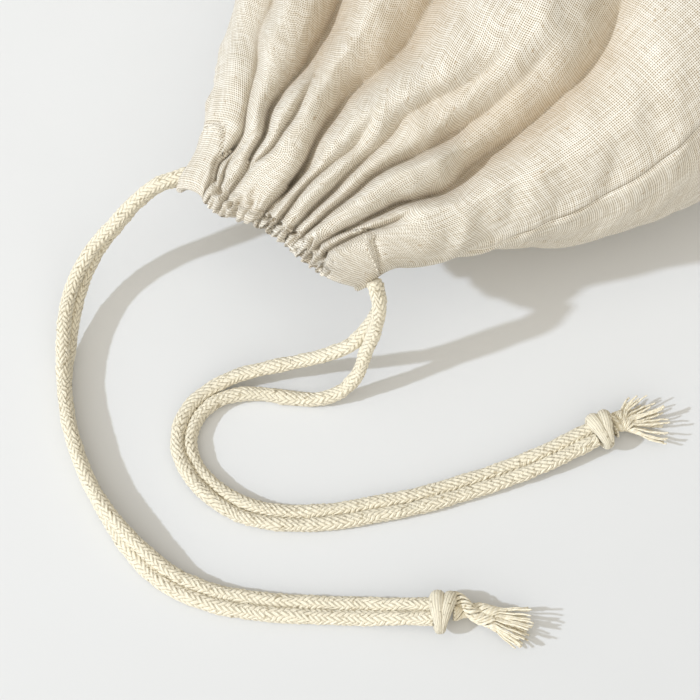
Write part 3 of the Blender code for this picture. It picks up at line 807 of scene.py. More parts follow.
# %% [markdown]
# ## Overhand knots
# Both cords of a pair are tied together in one overhand knot. Pulled tight, it shows as two or
# three fat wraps across the cords, in which the braid is crushed until only its yarns show as
# lines along the wrap. A tube with ridges along it, wound twice round the cords and drawn in at
# both ends, gives that better than a braided one would.
#
# In the table x, y, z and heading place the knot, and long, wide and high are its size. Past it
# the cords run on for the neck and the yarns for the tail. The yarns open to the angle fan, their
# tips rise up to lift, and the whole tassel leans and lies aside. Curl is the share of the angle
# that a yarn has bent back by at its end, and short how much shorter those at one edge are.

# %% Knots
KNOT_COLUMNS = ("side", "x", "y", "z", "heading", "long", "wide", "high", "neck", "tail",
                "fan", "lift", "lean", "curl", "short", "aside")
KNOTS = (
    ("left", 119.3, -231.9, 6.1, 38, 10.6, 15.8, 12.0, 10.5, 16.0, 24, 9.0, -16, 0.15, 0.1, 2.4),
    ("right", 123.3, -144.1, 6.1, 66, 10.8, 14.8, 12.5, 2.5, 17.0, 58, 8.0, -8, 0.5, 0.5, 0.6),
)
WRAP_YARNS, YARN_GROOVE, YARN_ROUND = 16, 0.17, 0.7    # how many, the groove between, its rounding
WRAP_TWIST = 0.02                # the yarns' turn round the wrap in a millimetre
WRAP_UNEVEN = {"twist": (3.0, 0.2), "swell": (2.5, 0.06)}      # over what run, and how much
WRAP_ENDS, WRAP_ENDS_OVER = 0.6, 0.1     # a wrap is this thin at both ends, over this share of it
# painted shade in the grooves between a wrap's yarns
WRAP_GAP_PAINTED_SHADE = 0.75
KNOT_ROUND = 66


def knot_place(knot, points):
    """From the knot's own frame, X along the cords, to the bag's."""
    turn = math.radians(knot["heading"])
    points = np.asarray(points, float)
    x = knot["x"] + points[..., 0] * math.cos(turn) - points[..., 1] * math.sin(turn)
    y = knot["y"] + points[..., 0] * math.sin(turn) + points[..., 1] * math.cos(turn)
    return np.stack([x, y, knot["z"] + points[..., 2]], axis=-1)


def both_ends(share, at_ends, over):
    """1 along the middle, and at_ends at both ends, over a share of the length."""
    return at_ends + (1.0 - at_ends) * between(share, (0.0, over), (1.0 - over, over))


def add_crushed_cord(shape, line, width, seed):
    """A cord whose braid has gone loose: ridges of yarn along it, thinner at its ends."""
    chance = np.random.default_rng(seed)
    run = run_lengths(line)
    turn = whole_turn(KNOT_ROUND)
    twist = (WRAP_TWIST * run + uneven(chance, run, *WRAP_UNEVEN["twist"]))[:, None]
    lane = WRAP_YARNS * turn[None, :] / (2.0 * math.pi) + twist
    height = np.abs(np.sin(math.pi * lane)) ** YARN_ROUND
    width = width * both_ends(run / run[-1], WRAP_ENDS, WRAP_ENDS_OVER)
    swollen = width / 2 * (1.0 + uneven(chance, run, *WRAP_UNEVEN["swell"]))
    radius = with_fuzz(swollen[:, None] - YARN_GROOVE * (1.0 - height), chance)
    # the grooves between yarns get painted shade
    add_tube(shape, line, radius, turn, WRAP_GAP_PAINTED_SHADE * (1.0 - height), lane % 1.0)


# %% [markdown]
# The winding cord's path is written in the knot's own frame, where X runs along the cords. Its two
# turns lie side by side on top, where they show, and come together and thin out at the -Y side.

# %% Winding the knots
WRAPS, WRAP_WIDTH = 2.0, 6.0     # turns of cord in a knot, and its width there
WRAPS_START = 3.0                # the first turn starts under the knot, at this angle
LOBES_APART = 4.7                # the two wraps that show, middle to middle
GATHER, NARROWER, SECOND_LESS = 0.8, 0.5, 0.15    # drawn together, and thinner, at the -Y side
ENDS_IN, ENDS_IN_OVER = 0.4, 0.12    # both ends lie this near the knot's middle, over this share
KNOT_STEP, KNOT_POINTS = 0.3, 80


def build_knot(knot, seed):
    """One overhand knot, as a single cord wound round the pair."""
    t = np.linspace(0.0, 1.0, KNOT_POINTS)
    turn = 2 * math.pi * WRAPS * t + WRAPS_START
    inset = WRAP_WIDTH / 2
    low = 0.5 - 0.5 * np.sin(turn)                        # 1 where the wraps close up
    drawn_in = both_ends(t, ENDS_IN, ENDS_IN_OVER)
    apart = LOBES_APART / 2 * np.sin(math.pi * (t - 0.5)) / math.sin(math.pi / 4)
    path = np.stack([knot["long"] / 2 + apart * (1.0 - GATHER * low),
                     (knot["wide"] / 2 - inset * (1.0 - NARROWER * low)) * drawn_in * np.sin(turn),
                     (knot["high"] / 2 - inset) * drawn_in * np.cos(turn)], axis=1)
    line = even_line(knot_place(knot, path), KNOT_STEP)
    share = run_lengths(line) / run_lengths(line)[-1]
    thinner = np.interp(share, run_lengths(path) / run_lengths(path)[-1], (1.0 - NARROWER * low ** 2))
    shape = bmesh.new()
    add_crushed_cord(shape, line, WRAP_WIDTH * thinner * (1.0 - SECOND_LESS * share), seed)
    piece = finish_piece(f"overhand_{knot['side']}", shape, BRAID)
    dress(piece, f"knot_{knot['side']}")
    return piece


knots = [dict(zip(KNOT_COLUMNS, row)) for row in KNOTS]
ends = {knot["side"]: [build_knot(knot, KNOT_SEED + number)] for number, knot in enumerate(knots)}

# %% [markdown]
# ## Frayed ends
# Past the knot the two cords run on for a little, crossing once, and then come apart into their
# yarns, which keep some of their old twist. Each yarn is a thin tube with a two-ply ridge. Its
# line is worked out in the knot's frame: first on its own cord, then free, opening like a fan and
# bending back a little toward the middle.

# %% The yarns' lines
YARNS = 24               # in each of the two cords
YARN_WIDTH, YARN_CLEAR, YARN_RINGS = 0.85, 0.05, 44    # clear is the gap to the surface
NECK_RADIUS = 2.2        # how far the outer yarns lie from their cord's middle
INNER_EVERY, INNER_RADIUS = 3, 0.35      # every third yarn lies inside, at this share of that
NECK_APART, NECK_OVER = 2.7, 1.3    # the two cords' middles, level and one above the other
NECK_CLOSER = 0.5        # they end this much nearer each other
NECK_LOW = 0.6           # and lie this far under the knot's middle
FAN_BACK = 1.0           # yarns start this far inside the knot
YARN_TWIST, TWIST_ON = 0.42, 4.0     # radians in a millimetre, and how far it goes on past the neck
HELD_OVER, FREE_TWIST = 0.45, 0.45   # the twist lets go over this share, down to that much of it
OWN_PLACE, CORD_PLACE = 0.7, 0.3     # a yarn's place in the fan comes from its own turn and its cord
FAN_OPENS = (-0.25, 0.6)             # the shares of the free run over which the fan opens
TAIL_SHARES = (0.82, 1.04)           # a yarn's length, as a share of the tail
INNER_RISE = 0.6                     # how much of the outer yarns' rise the inner ones have
LIFT_OVER, LEAN_OVER = 1.2, 5.0      # how soon the tips' lift and the tassel's lean set in
CRIMP, CRIMP_PACE, CRIMP_START = 0.07, (0.9, 1.3), (0.0, 6.28)    # fine waves along a free yarn
ASTRAY = {"turn": 0.2, "place": 0.12, "rise": 0.15, "bow": 0.9}    # how far chance moves each


def neck_path(knot, cord, run):
    """The middle of one of the two cords past the knot, as they cross once."""
    share = np.clip(run / knot["neck"], 0.0, 1.0)
    way = 1.0 if cord == 0 else -1.0
    apart = way * NECK_APART * (1.0 - NECK_CLOSER * share)
    return apart * np.cos(math.pi * share), way * NECK_OVER * np.sin(math.pi * share) - NECK_LOW


def yarn_line(knot, cord, number, chance):
    """The middle line of one yarn, from inside the knot to its cut end."""
    def astray(name):
        return chance.uniform(-ASTRAY[name], ASTRAY[name])

    inner = number % INNER_EVERY == INNER_EVERY - 1
    own_turn = 2.0 * math.pi * number / YARNS + astray("turn")
    neck = knot["neck"] + FAN_BACK
    place = math.sin(own_turn + YARN_TWIST * (neck + TWIST_ON)) * OWN_PLACE
    place += -CORD_PLACE if cord == 0 else CORD_PLACE
    reach = knot["tail"] * chance.uniform(*TAIL_SHARES) * (1.0 - knot["short"] * max(place, 0.0))
    run = np.linspace(0.0, neck + reach, YARN_RINGS)
    past = np.maximum(run - neck, 0.0) / reach           # 0 in the neck, 1 at the cut end
    twist = own_turn + YARN_TWIST * np.minimum(run, neck + TWIST_ON)
    held = 1.0 - fade(past, 0.0, HELD_OVER)
    opening = math.radians(knot["fan"]) * (place + astray("place"))
    rise = 0.5 + 0.5 * math.cos(twist[-1]) * (INNER_RISE if inner else 1.0) + astray("rise")
    angle = opening * (1.0 - knot["curl"] * past) * fade(past, *FAN_OPENS)
    moving = (past > 0.0) * (neck + reach) / YARN_RINGS
    fan_y = np.cumsum(moving * np.sin(angle)) + astray("bow") * np.sin(3.0 * past) * past
    x = knot["long"] - FAN_BACK + np.minimum(run, neck) + np.cumsum(moving * np.cos(angle))
    middle_y, middle_z = neck_path(knot, cord, run)
    radius = NECK_RADIUS * (INNER_RADIUS if inner else 1.0)
    y = middle_y + radius * np.sin(twist) * (FREE_TWIST + (1.0 - FREE_TWIST) * held) + fan_y
    z = middle_z + radius * np.cos(twist) * held
    tip = knot["lift"] * min(max(rise, 0.0), 1.0) + YARN_WIDTH / 2 - knot["z"]
    z = z + (tip - z) * fade(past, 0.0, LIFT_OVER)
    wave = np.sin(run * chance.uniform(*CRIMP_PACE) + chance.uniform(*CRIMP_START))
    crimp = CRIMP * wave * (1.0 - held)
    return leant(knot, x, y + crimp, z + crimp)


def leant(knot, x, y, z):
    """A yarn in the knot's frame, turned with its tassel and put in the bag's frame."""
    hinge = knot["long"]
    lean = math.radians(knot["lean"]) * fade(x, hinge, LEAN_OVER)
    turned_x = hinge + (x - hinge) * np.cos(lean) - y * np.sin(lean)
    turned_y = (x - hinge) * np.sin(lean) + y * np.cos(lean) + knot["aside"]
    line = knot_place(knot, np.stack([turned_x, turned_y, z], axis=1))
    line[:, 2] = np.maximum(line[:, 2], YARN_WIDTH / 2 + YARN_CLEAR)
    return line


# %% Loose yarns
YARN_SIDES = 9
YARN_SIZES = (0.82, 1.1)              # shares of the width
YARN_TAPER, TAPER_LATE = 0.25, 4      # how much thinner at the tip, and how late that comes
PLY_TURN = 0.75          # half turns of a yarn's two plies in a millimetre
# how far the plies stand out, the painted shade between the two plies, and how much darker a yarn's own
# tone may be, at random
PLY_PROUD, PLY_PAINTED_SHADE, YARN_DARK = 0.10, 0.12, 0.25


def build_tassel(knot, seed):
    """The frayed ends of both cords past one knot, as one piece."""
    chance = np.random.default_rng(seed)
    tassel = bmesh.new()
    turn = whole_turn(YARN_SIDES)
    for cord in (0, 1):
        for number in range(YARNS):
            line = yarn_line(knot, cord, number, chance)
            run = run_lengths(line)
            ply = np.cos(2.0 * (turn[None, :] - PLY_TURN * math.pi * run[:, None]))
            thick = YARN_WIDTH / 2 * chance.uniform(*YARN_SIZES)
            taper = 1.0 - YARN_TAPER * (run / run[-1]) ** TAPER_LATE
            radius = thick * taper[:, None] * (1.0 + PLY_PROUD * ply)
            # painted shade between the plies, and each yarn's own random tone
            painted_shade_and_tone = PLY_PAINTED_SHADE * (1.0 - ply) + chance.uniform(0.0, YARN_DARK)
            lane = (turn[None, :] / (2.0 * math.pi) - 0.5 * PLY_TURN * run[:, None]) % 1.0
            add_tube(tassel, line, radius, turn, painted_shade_and_tone, lane)
    piece = finish_piece(f"loose_yarns_{knot['side']}", tassel, YARN)
    dress(piece, f"tassel_{knot['side']}")
    return piece


for number, knot in enumerate(knots):
    ends[knot["side"]].append(build_tassel(knot, TASSEL_SEED + number))

# %% [markdown]

# %% [markdown]
# ## The bag's sections
# The sheet repeats the CAD bag's sections, one for each place along Y: how far it reaches left,
# right, down and up, how square it is, and how far the two side seams have rolled round it. The
# lip is skewed, bowed and tilted, and its underside lies a little back under the top.

# %% Sections of the bag
LIP_SKEW, LIP_TILT, LIP_BOW, LIP_REACH = 0.08, 0.06, 4.0, 90.0
LIP_LINE = (             # how far the lip lies back at places from -1, the left side, to 1
    (-1.0, 0.0), (-0.73, 2.4), (-0.58, 0.8), (-0.43, 0.2), (-0.28, 2.4), (-0.15, 3.7), (0.02, 4.6),
    (0.19, 4.0), (0.47, 1.9), (0.73, 0.6), (0.88, 1.2), (1.0, 3.0))
LIP_LINE_REACH = 16.0
UNDER_BACK, UNDER_REACH = 9.0, 34.0
BOTTOM_BOW, BOTTOM_REACH = 9.0, 60.0
SECTION_COLUMNS = ("y", "left", "right", "low", "high", "square", "roll")
SECTIONS = (
    (-175, -40.5, 37.0, 40.0, 58.5, 2.8, 0),
    (-168, -41.5, 38.0, 38.5, 61.5, 2.7, 0),
    (-160, -43.5, 39.5, 35.0, 65.0, 2.5, -2),
    (-145, -53.0, 49.0, 25.0, 75.0, 2.2, -9),
    (-133, -59.5, 56.5, 17.0, 83.0, 2.1, -7),
    (-118, -68.0, 67.0, 8.0, 92.0, 2.1, 3),
    (-100, -78.0, 81.0, 0.0, 100.0, 2.1, 12),
    (-80, -88.5, 95.0, -3.0, 107.0, 2.2, 22),
    (-55, -99.0, 106.0, -5.0, 112.0, 2.3, 32),
    (-20, -110.0, 115.0, -6.0, 115.0, 2.3, 36),
    (20, -116.0, 119.5, -6.0, 115.0, 2.3, 32),
    (70, -118.0, 120.0, -5.0, 111.0, 2.3, 22),
    (110, -117.5, 118.5, -4.0, 101.0, 2.2, 12),
    (140, -118.5, 119.0, -2.0, 84.0, 2.1, 6),
    (160, -121.5, 122.0, 4.0, 63.0, 2.0, 2),
    (173, -126.0, 126.0, 12.0, 46.0, 2.0, 0),
    (181, -129.0, 129.0, 23.0, 31.0, 2.0, 0),
)
LIP_Y, END_Y = SECTIONS[0][0], SECTIONS[-1][0]
print("sections from the lip to the bottom, in mm:", END_Y - LIP_Y)

# %% [markdown]
# A section is an oval, more or less squared. Its points run from the left seam over the top to the
# right one and back below. Rows lie closest near the mouth, where the gathers are fine, and columns
# crowd beside the seams.

# %% Outlines, rows and columns
ROW_STEPS = (            # the step from row to row, from this far behind the lip
    (0, 0.45), (8, 0.85), (45, 1.0), (85, 1.3), (130, 3.0), (240, 5.0), (340, 1.2))
PANEL_COLUMNS = {"upper": 312, "under": 118}
SECTION_STEPS, SHARE_POINTS = 720, 2001      # how finely a section and a panel are read
SEAM_CROWD, CROWD_WIDE = 1.6, 0.014     # beside the seams columns crowd this much, over this share


def section_outline(row, shares):
    """Points round one section at shares of its two panels, and the panels' widths."""
    turn = whole_turn(SECTION_STEPS)
    power = 2.0 / row["square"]
    middle_x, half_x = (row["left"] + row["right"]) / 2, (row["right"] - row["left"]) / 2
    middle_z, half_z = (row["low"] + row["high"]) / 2, (row["high"] - row["low"]) / 2
    x = middle_x - half_x * np.sign(np.cos(turn)) * np.abs(np.cos(turn)) ** power
    z = middle_z + half_z * np.sign(np.sin(turn)) * np.abs(np.sin(turn)) ** power
    z = np.maximum(z, 0.0)
    run = np.concatenate([[0.0], np.cumsum(np.hypot(np.diff(x), np.diff(z)))])
    half = np.interp(math.pi, turn, run)
    upper = -row["roll"] + shares["upper"] * half
    under = half - row["roll"] + shares["under"] * (run[-1] - half)
    where = np.concatenate([upper, under]) % run[-1]
    return np.interp(where, run, x), np.interp(where, run, z), half, run[-1] - half


def row_places():
    """How far behind the lip each row of the cloth lies."""
    places, behind = [], 0.0
    while behind < END_Y - LIP_Y:
        places.append(behind)
        behind += [step for start, step in ROW_STEPS if start <= behind][-1]
    return np.array(places + [END_Y - LIP_Y], float)


def panel_shares(panel):
    """Places across a panel, closer together beside its two seams."""
    even = np.linspace(0.0, 1.0, SHARE_POINTS)
    crowd = 1.0 + SEAM_CROWD * np.exp(-(np.minimum(even, 1.0 - even) / CROWD_WIDE) ** 2)
    count = np.concatenate([[0.0], np.cumsum((crowd[1:] + crowd[:-1]) / 2)])
    wanted = np.linspace(0.0, count[-1], PANEL_COLUMNS[panel] + 1)[:-1]
    return np.interp(wanted, count, even)


# %% [markdown]
# ## The main folds
# A gathered mouth throws folds over the body, and no two are alike, so each has its own line in a
# table: behind is the distance from the lip, share the place across the panel from the left seam
# to the right, depth how far the cloth is drawn in, and left and right the reach of the crease's
# two flanks. Sculpting could do it too, but the table can be read beside the cloth.
#
# A flank is part of a round arc, so puffs of cloth meet in a sharp crease as they do on a real
# bag. Nearly everywhere the broad flank is on the left of a crease and the narrow one on its right,
# so each ridge has one side in the light and one in shade.

# %% Tables of folds
FOLD_COLUMNS = ("behind", "share", "depth", "left", "right")
UPPER_FOLDS = {
    "nested_left": (
        (5, .245, 1.5, 2.5, 1.5), (9, .240, 3, 2.5, 1.5), (12, .222, 3.5, 2.5, 2), (16, .212, 3.5, 3, 2),
        (21, .222, 2.5, 3, 2), (27, .235, 0, 4, 3)),
    "beside_left_tab": (
        (3, .205, 2, 3.5, 3), (9, .195, 4.5, 3.5, 3), (13, .173, 7, 3.5, 4), (19, .190, 7.5, 5, 4),
        (24, .195, 6, 9, 4), (30, .178, 5.5, 12, 6), (46, .192, 7, 17.5, 7), (63, .245, 10, 24, 10),
        (90, .288, 10, 31.5, 15), (130, .310, 5.5, 35, 19), (190, .310, 0, 42, 22.5)),
    "deep_left": (
        (5, .300, 2, 2.5, 2.5), (10, .295, 4, 3, 3), (15, .288, 5, 3.5, 3), (22, .268, 7, 5, 3),
        (27, .265, 9, 7, 4), (34, .252, 11, 10.5, 5), (41, .283, 12.5, 16, 6.5), (47, .323, 14.5, 21, 8),
        (54, .367, 15, 24.5, 9.5), (62, .395, 16.5, 30, 11), (70, .405, 17.5, 33, 13),
        (110, .420, 17, 42, 19), (150, .420, 10, 49, 22.5), (200, .420, 0, 52.5, 22.5)),
    "small_left": (
        (10, .305, 1, 3.5, 2.5), (18, .300, 3, 3.5, 2.5), (24, .312, 4.5, 5, 2.5), (31, .315, 5.5, 5, 3),
        (37, .334, 6.5, 7, 4), (44, .358, 6, 9, 5), (51, .388, 6.5, 10.5, 5.5), (60, .414, 6, 12, 7),
        (71, .432, 5, 14, 9), (88, .440, 0, 16, 13)),
    "deep_middle": (
        (5, .470, 3, 3.5, 2.5), (12, .460, 7, 5, 3), (17, .456, 9, 7, 3), (22, .441, 10.5, 9, 4),
        (26, .428, 12, 10.5, 5), (32, .418, 13, 14, 6.5), (39, .427, 15, 17.5, 8), (47, .458, 16, 21, 9.5),
        (53, .490, 17, 24.5, 13), (59, .525, 18, 28, 14.5), (68, .553, 20.5, 33, 17.5),
        (85, .570, 21.5, 40, 22.5), (120, .580, 18, 49, 29), (160, .588, 9, 52.5, 32),
        (210, .590, 0, 56, 32)),
    "second_middle": (
        (7, .490, 1.5, 2.5, 2.5), (14, .478, 4, 2.5, 2.5), (22, .453, 4.5, 3.5, 3), (28, .448, 3, 3.5, 3),
        (36, .450, 0, 3.5, 3)),
    "short_middle": (
        (5, .535, 3, 3.5, 2.5), (13, .523, 6, 5, 3), (19, .500, 7, 7, 3), (24, .484, 7, 7, 3.5),
        (30, .488, 6, 9, 5), (37, .512, 5, 10.5, 6.5), (52, .550, 0, 14, 9.5)),
    "dark_slit": (
        (5, .603, 4, 3.5, 2.5), (12, .595, 7.5, 5, 3), (18, .577, 9, 7, 3), (24, .556, 10, 9, 3),
        (29, .543, 9, 9, 4), (35, .550, 8, 10.5, 5), (42, .573, 8, 12, 6.5), (49, .598, 7.5, 13, 9),
        (61, .652, 7, 14, 12), (77, .700, 5, 16, 14), (98, .720, 0, 21, 16)),
    "long_right": (
        (5, .648, 3, 3.5, 2.5), (14, .640, 7, 5, 3), (21, .616, 8, 7, 3), (26, .600, 9, 9, 3.5),
        (32, .594, 10, 10.5, 4), (39, .617, 11.5, 12, 4), (47, .665, 12.5, 16, 4), (53, .698, 13, 19, 5),
        (60, .724, 12, 21, 6.5), (67, .738, 9.5, 23, 9.5), (82, .757, 5.5, 24.5, 13),
        (104, .770, 0, 28, 14.5)),
    "broad_right": (
        (5, .722, 3, 3.5, 3), (14, .724, 7, 5, 3), (18, .721, 8, 7, 3), (24, .700, 10.5, 9, 4),
        (31, .696, 12, 11, 5), (37, .722, 13, 13, 6), (42, .748, 14, 15, 7), (50, .778, 15, 17, 9),
        (56, .789, 17, 19, 11), (65, .800, 18.5, 20.5, 14), (76, .809, 19.5, 22, 16),
        (88, .818, 19.5, 23, 19), (102, .827, 18, 24, 21), (112, .826, 16.5, 26, 23),
        (123, .814, 14, 31, 26), (150, .790, 8, 46, 34), (200, .780, 0, 56, 45)),
    "over_right_tab": (
        (2, .765, 2, 4.5, 4), (9, .765, 5.5, 5.5, 4), (13, .765, 7, 6, 5), (20, .757, 7, 7, 6),
        (27, .745, 5.5, 7, 7), (36, .735, 0, 6, 8)),
}
UNDER_KINDS = {          # behind, depth and flank, for the underside's simpler folds
    "short": ((4, 3, 4), (14, 7, 5.5), (45, 7, 11.5), (75, 0, 15)),
    "long": ((4, 3, 4), (14, 7, 5.5), (45, 8.5, 13.5), (90, 0, 17)),
    "shallow": ((4, 1.5, 4), (14, 6, 5.5), (45, 4.5, 11.5), (70, 0, 15)),
}
UNDER_LINES = (          # the kind, and its share of the panel in each row
    ("short", (.14, .14, .12, .12)), ("long", (.29, .29, .27, .26)),
    ("short", (.44, .44, .43, .42)), ("long", (.58, .58, .60, .61)),
    ("short", (.72, .72, .75, .76)), ("shallow", (.87, .87, .90, .91)))
UNDER_FOLDS = {
    f"under_{number}": [(behind, share, depth, flank, flank)
                        for (behind, depth, flank), share in zip(UNDER_KINDS[kind], shares)]
    for number, (kind, shares) in enumerate(UNDER_LINES)}
print("main folds:", len(UPPER_FOLDS), "above and", len(UNDER_FOLDS), "below")

# %% Depth of the main folds
LEAN = 0.12              # a crease's bottom lies this far to the left, for each mm of its depth
LEFT_POWER, RIGHT_POWER = 1.25, 1.5      # 1 is a straight flank, 2 a quarter circle
MOUTH_POWER, MOUTH_FOLDS = 2.8, (18.0, 40.0)    # flat tops there, and where they give way
STEEPEST = 0.96          # 1 lets a flank end upright; less keeps its lower end from doing so
BOTTOM_ROUND = 0.5       # the rounding of a crease's bottom
CREASE_WIDE = 2.4        # the cloth that a crease hides goes in over this width


def fold_depths(back, folds, shares, panel_width):
    """How far one row of cloth is drawn in by the main folds, and how much they hide so far."""
    depth, hidden = np.zeros_like(shares), np.zeros_like(shares)
    for rows in folds.values():
        table = np.array(rows, float)
        first, last = table[0, 0], table[-1, 0]
        here = smooth_values(table[:, 0], table[:, 1:], np.maximum(back, first))
        crease = dict(zip(FOLD_COLUMNS[1:], here.T))
        deep = np.maximum(crease["depth"], 0.0) * np.clip(back / first, 0.0, 1.0) * (back < last)
        off = (shares - crease["share"]) * panel_width - LEAN * deep
        away = np.sqrt(off ** 2 + BOTTOM_ROUND ** 2) - BOTTOM_ROUND
        reach = np.where(off < 0, crease["left"], crease["right"])
        t = STEEPEST * np.clip(1.0 - away / reach, 0.0, 1.0)
        power = np.where(off < 0, LEFT_POWER, RIGHT_POWER)
        power = MOUTH_POWER + (power - MOUTH_POWER) * fade(back, *MOUTH_FOLDS)
        most = 1.0 - (1.0 - STEEPEST ** power) ** (1.0 / power)
        depth += deep * (1.0 - (1.0 - t ** power) ** (1.0 / power)) / most
        hidden += deep * fade(off, -CREASE_WIDE / 2, CREASE_WIDE)
    return depth, hidden


# %% [markdown]
# ## Casing, gathers and seams
# The top hem is turned over and sewn down as a casing for the cords. Drawn shut, it bunches into
# small ruffles with dark slits between, pinched hardest along the row of sewing. At both sides it
# stays flat, as a tab, and there the sewing shows. The side seams are sewn inside out, so each is
# a fine groove with the cloth a little full beside it.

# %% The slits of the gathers
GATHERED = {             # the shares where a panel's gathers start, end, and end at the lip
    "upper": (0.20, 0.73, 0.84), "under": (0.08, 0.92, 0.92)}
SLIT_COLUMNS = ("space", "depth", "start", "end", "width", "slant")    # each a range for chance
SLITS = {
    "at the lip": ((2.0, 4.0), (1.4, 3.0), (-2.0, -1.0), (2.0, 6.5), (0.4, 0.75), (-0.25, 0.25)),
    "in the hem": ((2.4, 5.2), (1.6, 3.6), (2.0, 4.2), (5.0, 9.5), (0.45, 0.9), (-0.5, 0.3)),
    "behind it": ((3.4, 7.0), (0.5, 1.6), (5.0, 8.0), (9.0, 20.0), (0.45, 0.9), (-0.3, 0.1)),
}
SLIT_ENDS, SLIT_SHARP = 0.7, 1.3         # less is blunter at both ends, and more is flatter inside


def slit_rows(panel, chance, panel_width):
    """A row for each slit of the gathers: its share, and then all columns but the space."""
    rows = []
    start, _, end = GATHERED[panel]
    for row in SLITS.values():
        limits = dict(zip(SLIT_COLUMNS, row))
        share = start + chance.uniform(0.0, limits["space"][1]) / panel_width
        while share < end:
            rows.append((share, *(chance.uniform(*limits[name]) for name in SLIT_COLUMNS[1:])))
            share += chance.uniform(*limits["space"]) / panel_width
    return rows


def slit_depths(behind, rows, shares, panel_width):
    """How deep the slits are along one row of the cloth."""
    depth = np.zeros_like(shares)
    for share, deep, start, end, width, slant in rows:
        if start < behind < end:
            along = math.sin(math.pi * (behind - start) / (end - start)) ** SLIT_ENDS
            off = (shares - share) * panel_width - slant * (behind - start)
            depth = np.maximum(depth, deep * along * np.exp(-np.abs(off / width) ** SLIT_SHARP))
    return depth


# %% The casing and the side seams
HEM_LINE = (             # share of the upper panel, and how far behind the lip the sewing lies there
    (0, 20), (.05, 23), (.11, 24), (.165, 16), (.20, 8), (.24, 5.5), (.30, 5), (.45, 4),
    (.60, 4.5), (.68, 7), (.72, 12), (.753, 19), (.828, 17), (.93, 12.5), (1, 10))
UNDER_HEM = 6.0          # the same for the whole under panel
CASING_PROUD, CASING_ROUND = 0.9, 0.7    # how far the casing stands out, and its rounding's power
TAB_STARTS, TAB_ENDS = (0.0, 3.0), (-0.6, 0.8)    # a flat tab rises at the lip, sinks at the sewing
HEM_GROOVE, HEM_WIDE = 0.9, 0.9          # twice as deep on the flat tabs
SEAM_GROOVE, SEAM_WIDE, SEAM_FULL, SEAM_FULL_WIDE = 1.1, 0.5, 0.35, 2.5
SEAM_STARTS = (14.0, 20.0)               # behind the lip, and over how much it comes in
PUCKER, PUCKER_WAVES = 0.35, (2.1, 5.3)  # how unevenly the seam pulls the cloth together


def casing_depths(behind, hem, gathered):
    """How far the casing's round and its row of sewing draw the cloth in."""
    bulging = np.sin(math.pi * np.clip(behind / hem, 0.0, 1.0)) ** CASING_ROUND
    lying = between(behind, TAB_STARTS, (hem + TAB_ENDS[0], TAB_ENDS[1]))
    groove = np.exp(-((behind - hem) / HEM_WIDE) ** 2) * HEM_GROOVE * (2.0 - gathered)
    return groove - CASING_PROUD * (gathered * bulging + (1.0 - gathered) * lying)


def seam_depths(shares, panel_width, behind):
    """The groove of the side seams at both edges of a panel, and the fullness beside it."""
    off = np.minimum(shares, 1.0 - shares) * panel_width
    short, long = PUCKER_WAVES
    pucker = 1.0 + PUCKER * np.sin(behind / short) * np.sin(behind / long + 1.0)
    full = SEAM_FULL * pucker * np.exp(-((off - SEAM_FULL_WIDE) / SEAM_FULL_WIDE) ** 2)
    return (SEAM_GROOVE * np.exp(-off / SEAM_WIDE) - full) * fade(behind, *SEAM_STARTS)


# %% [markdown]
# ## The cloth, row by row
# For every row the section gives the smooth bag, the folds, slits and seams say how far in each
# point goes, and slow waves keep the wide parts from looking machined. Cloth simulation would
# also drape a gathered bag, but its folds fall where they like, and here they have to lie where
# they are seen. So the upper folds sink straight away from the camera, which leaves each line
# where the table has it.

# %% Waves and directions
WAVE_SLANT = 0.9         # how far a wave may slant, either way
WAVE_BEND, BEND_LONG = 0.8, 1.7      # how much it meanders, and over how many wavelengths


def slow_waves(waves, arc, behind, chance):
    """Soft uneven lumps, a sum of slanting waves."""
    total = np.zeros_like(arc + behind)
    for wave, height in waves:
        slant, start = chance.uniform(-WAVE_SLANT, WAVE_SLANT), chance.uniform(0, 2 * math.pi)
        bend = WAVE_BEND * np.sin(2 * math.pi * behind / (BEND_LONG * wave) + start)
        total += height * np.sin(2 * math.pi * (arc + slant * behind) / wave + start + bend)
    return total


def round_the_bag(grid):
    """From each point's neighbour on one side to the other, in rows that close on themselves."""
    return np.roll(grid, -1, axis=1) - np.roll(grid, 1, axis=1)


def grid_normals(grid):
    """Outward unit normals of a grid that closes on itself across its columns."""
    normals = unit(np.cross(round_the_bag(grid), np.gradient(grid, axis=0)))
    outward = np.sum(normals * (grid - grid.mean(axis=1, keepdims=True)), axis=2).mean()
    return normals if outward > 0 else -normals


# %% [markdown]
# One row starts as its section's outline. Near the mouth it is moved back and forth, so that the
# lip isn't cut straight, and near the bottom it is bowed. Then each of its two panels is asked how
# far every point goes in: by its main folds, and by slits, casing and seams.

# %% One row of the cloth
GATHER_EDGE = 0.02       # half the share of a panel over which its gathers begin and end
NARROWING = (3.0, 6.0)   # behind the lip, and over how much, the gathers narrow
RUFFLE_REACH, RUFFLE_BACK = 1.3, 6.0   # ruffles stand out past the lip, over this depth


def along_line(line, places):
    """The value at these places, from a line of places and values."""
    return smooth_values(*np.array(line, float).T, places)


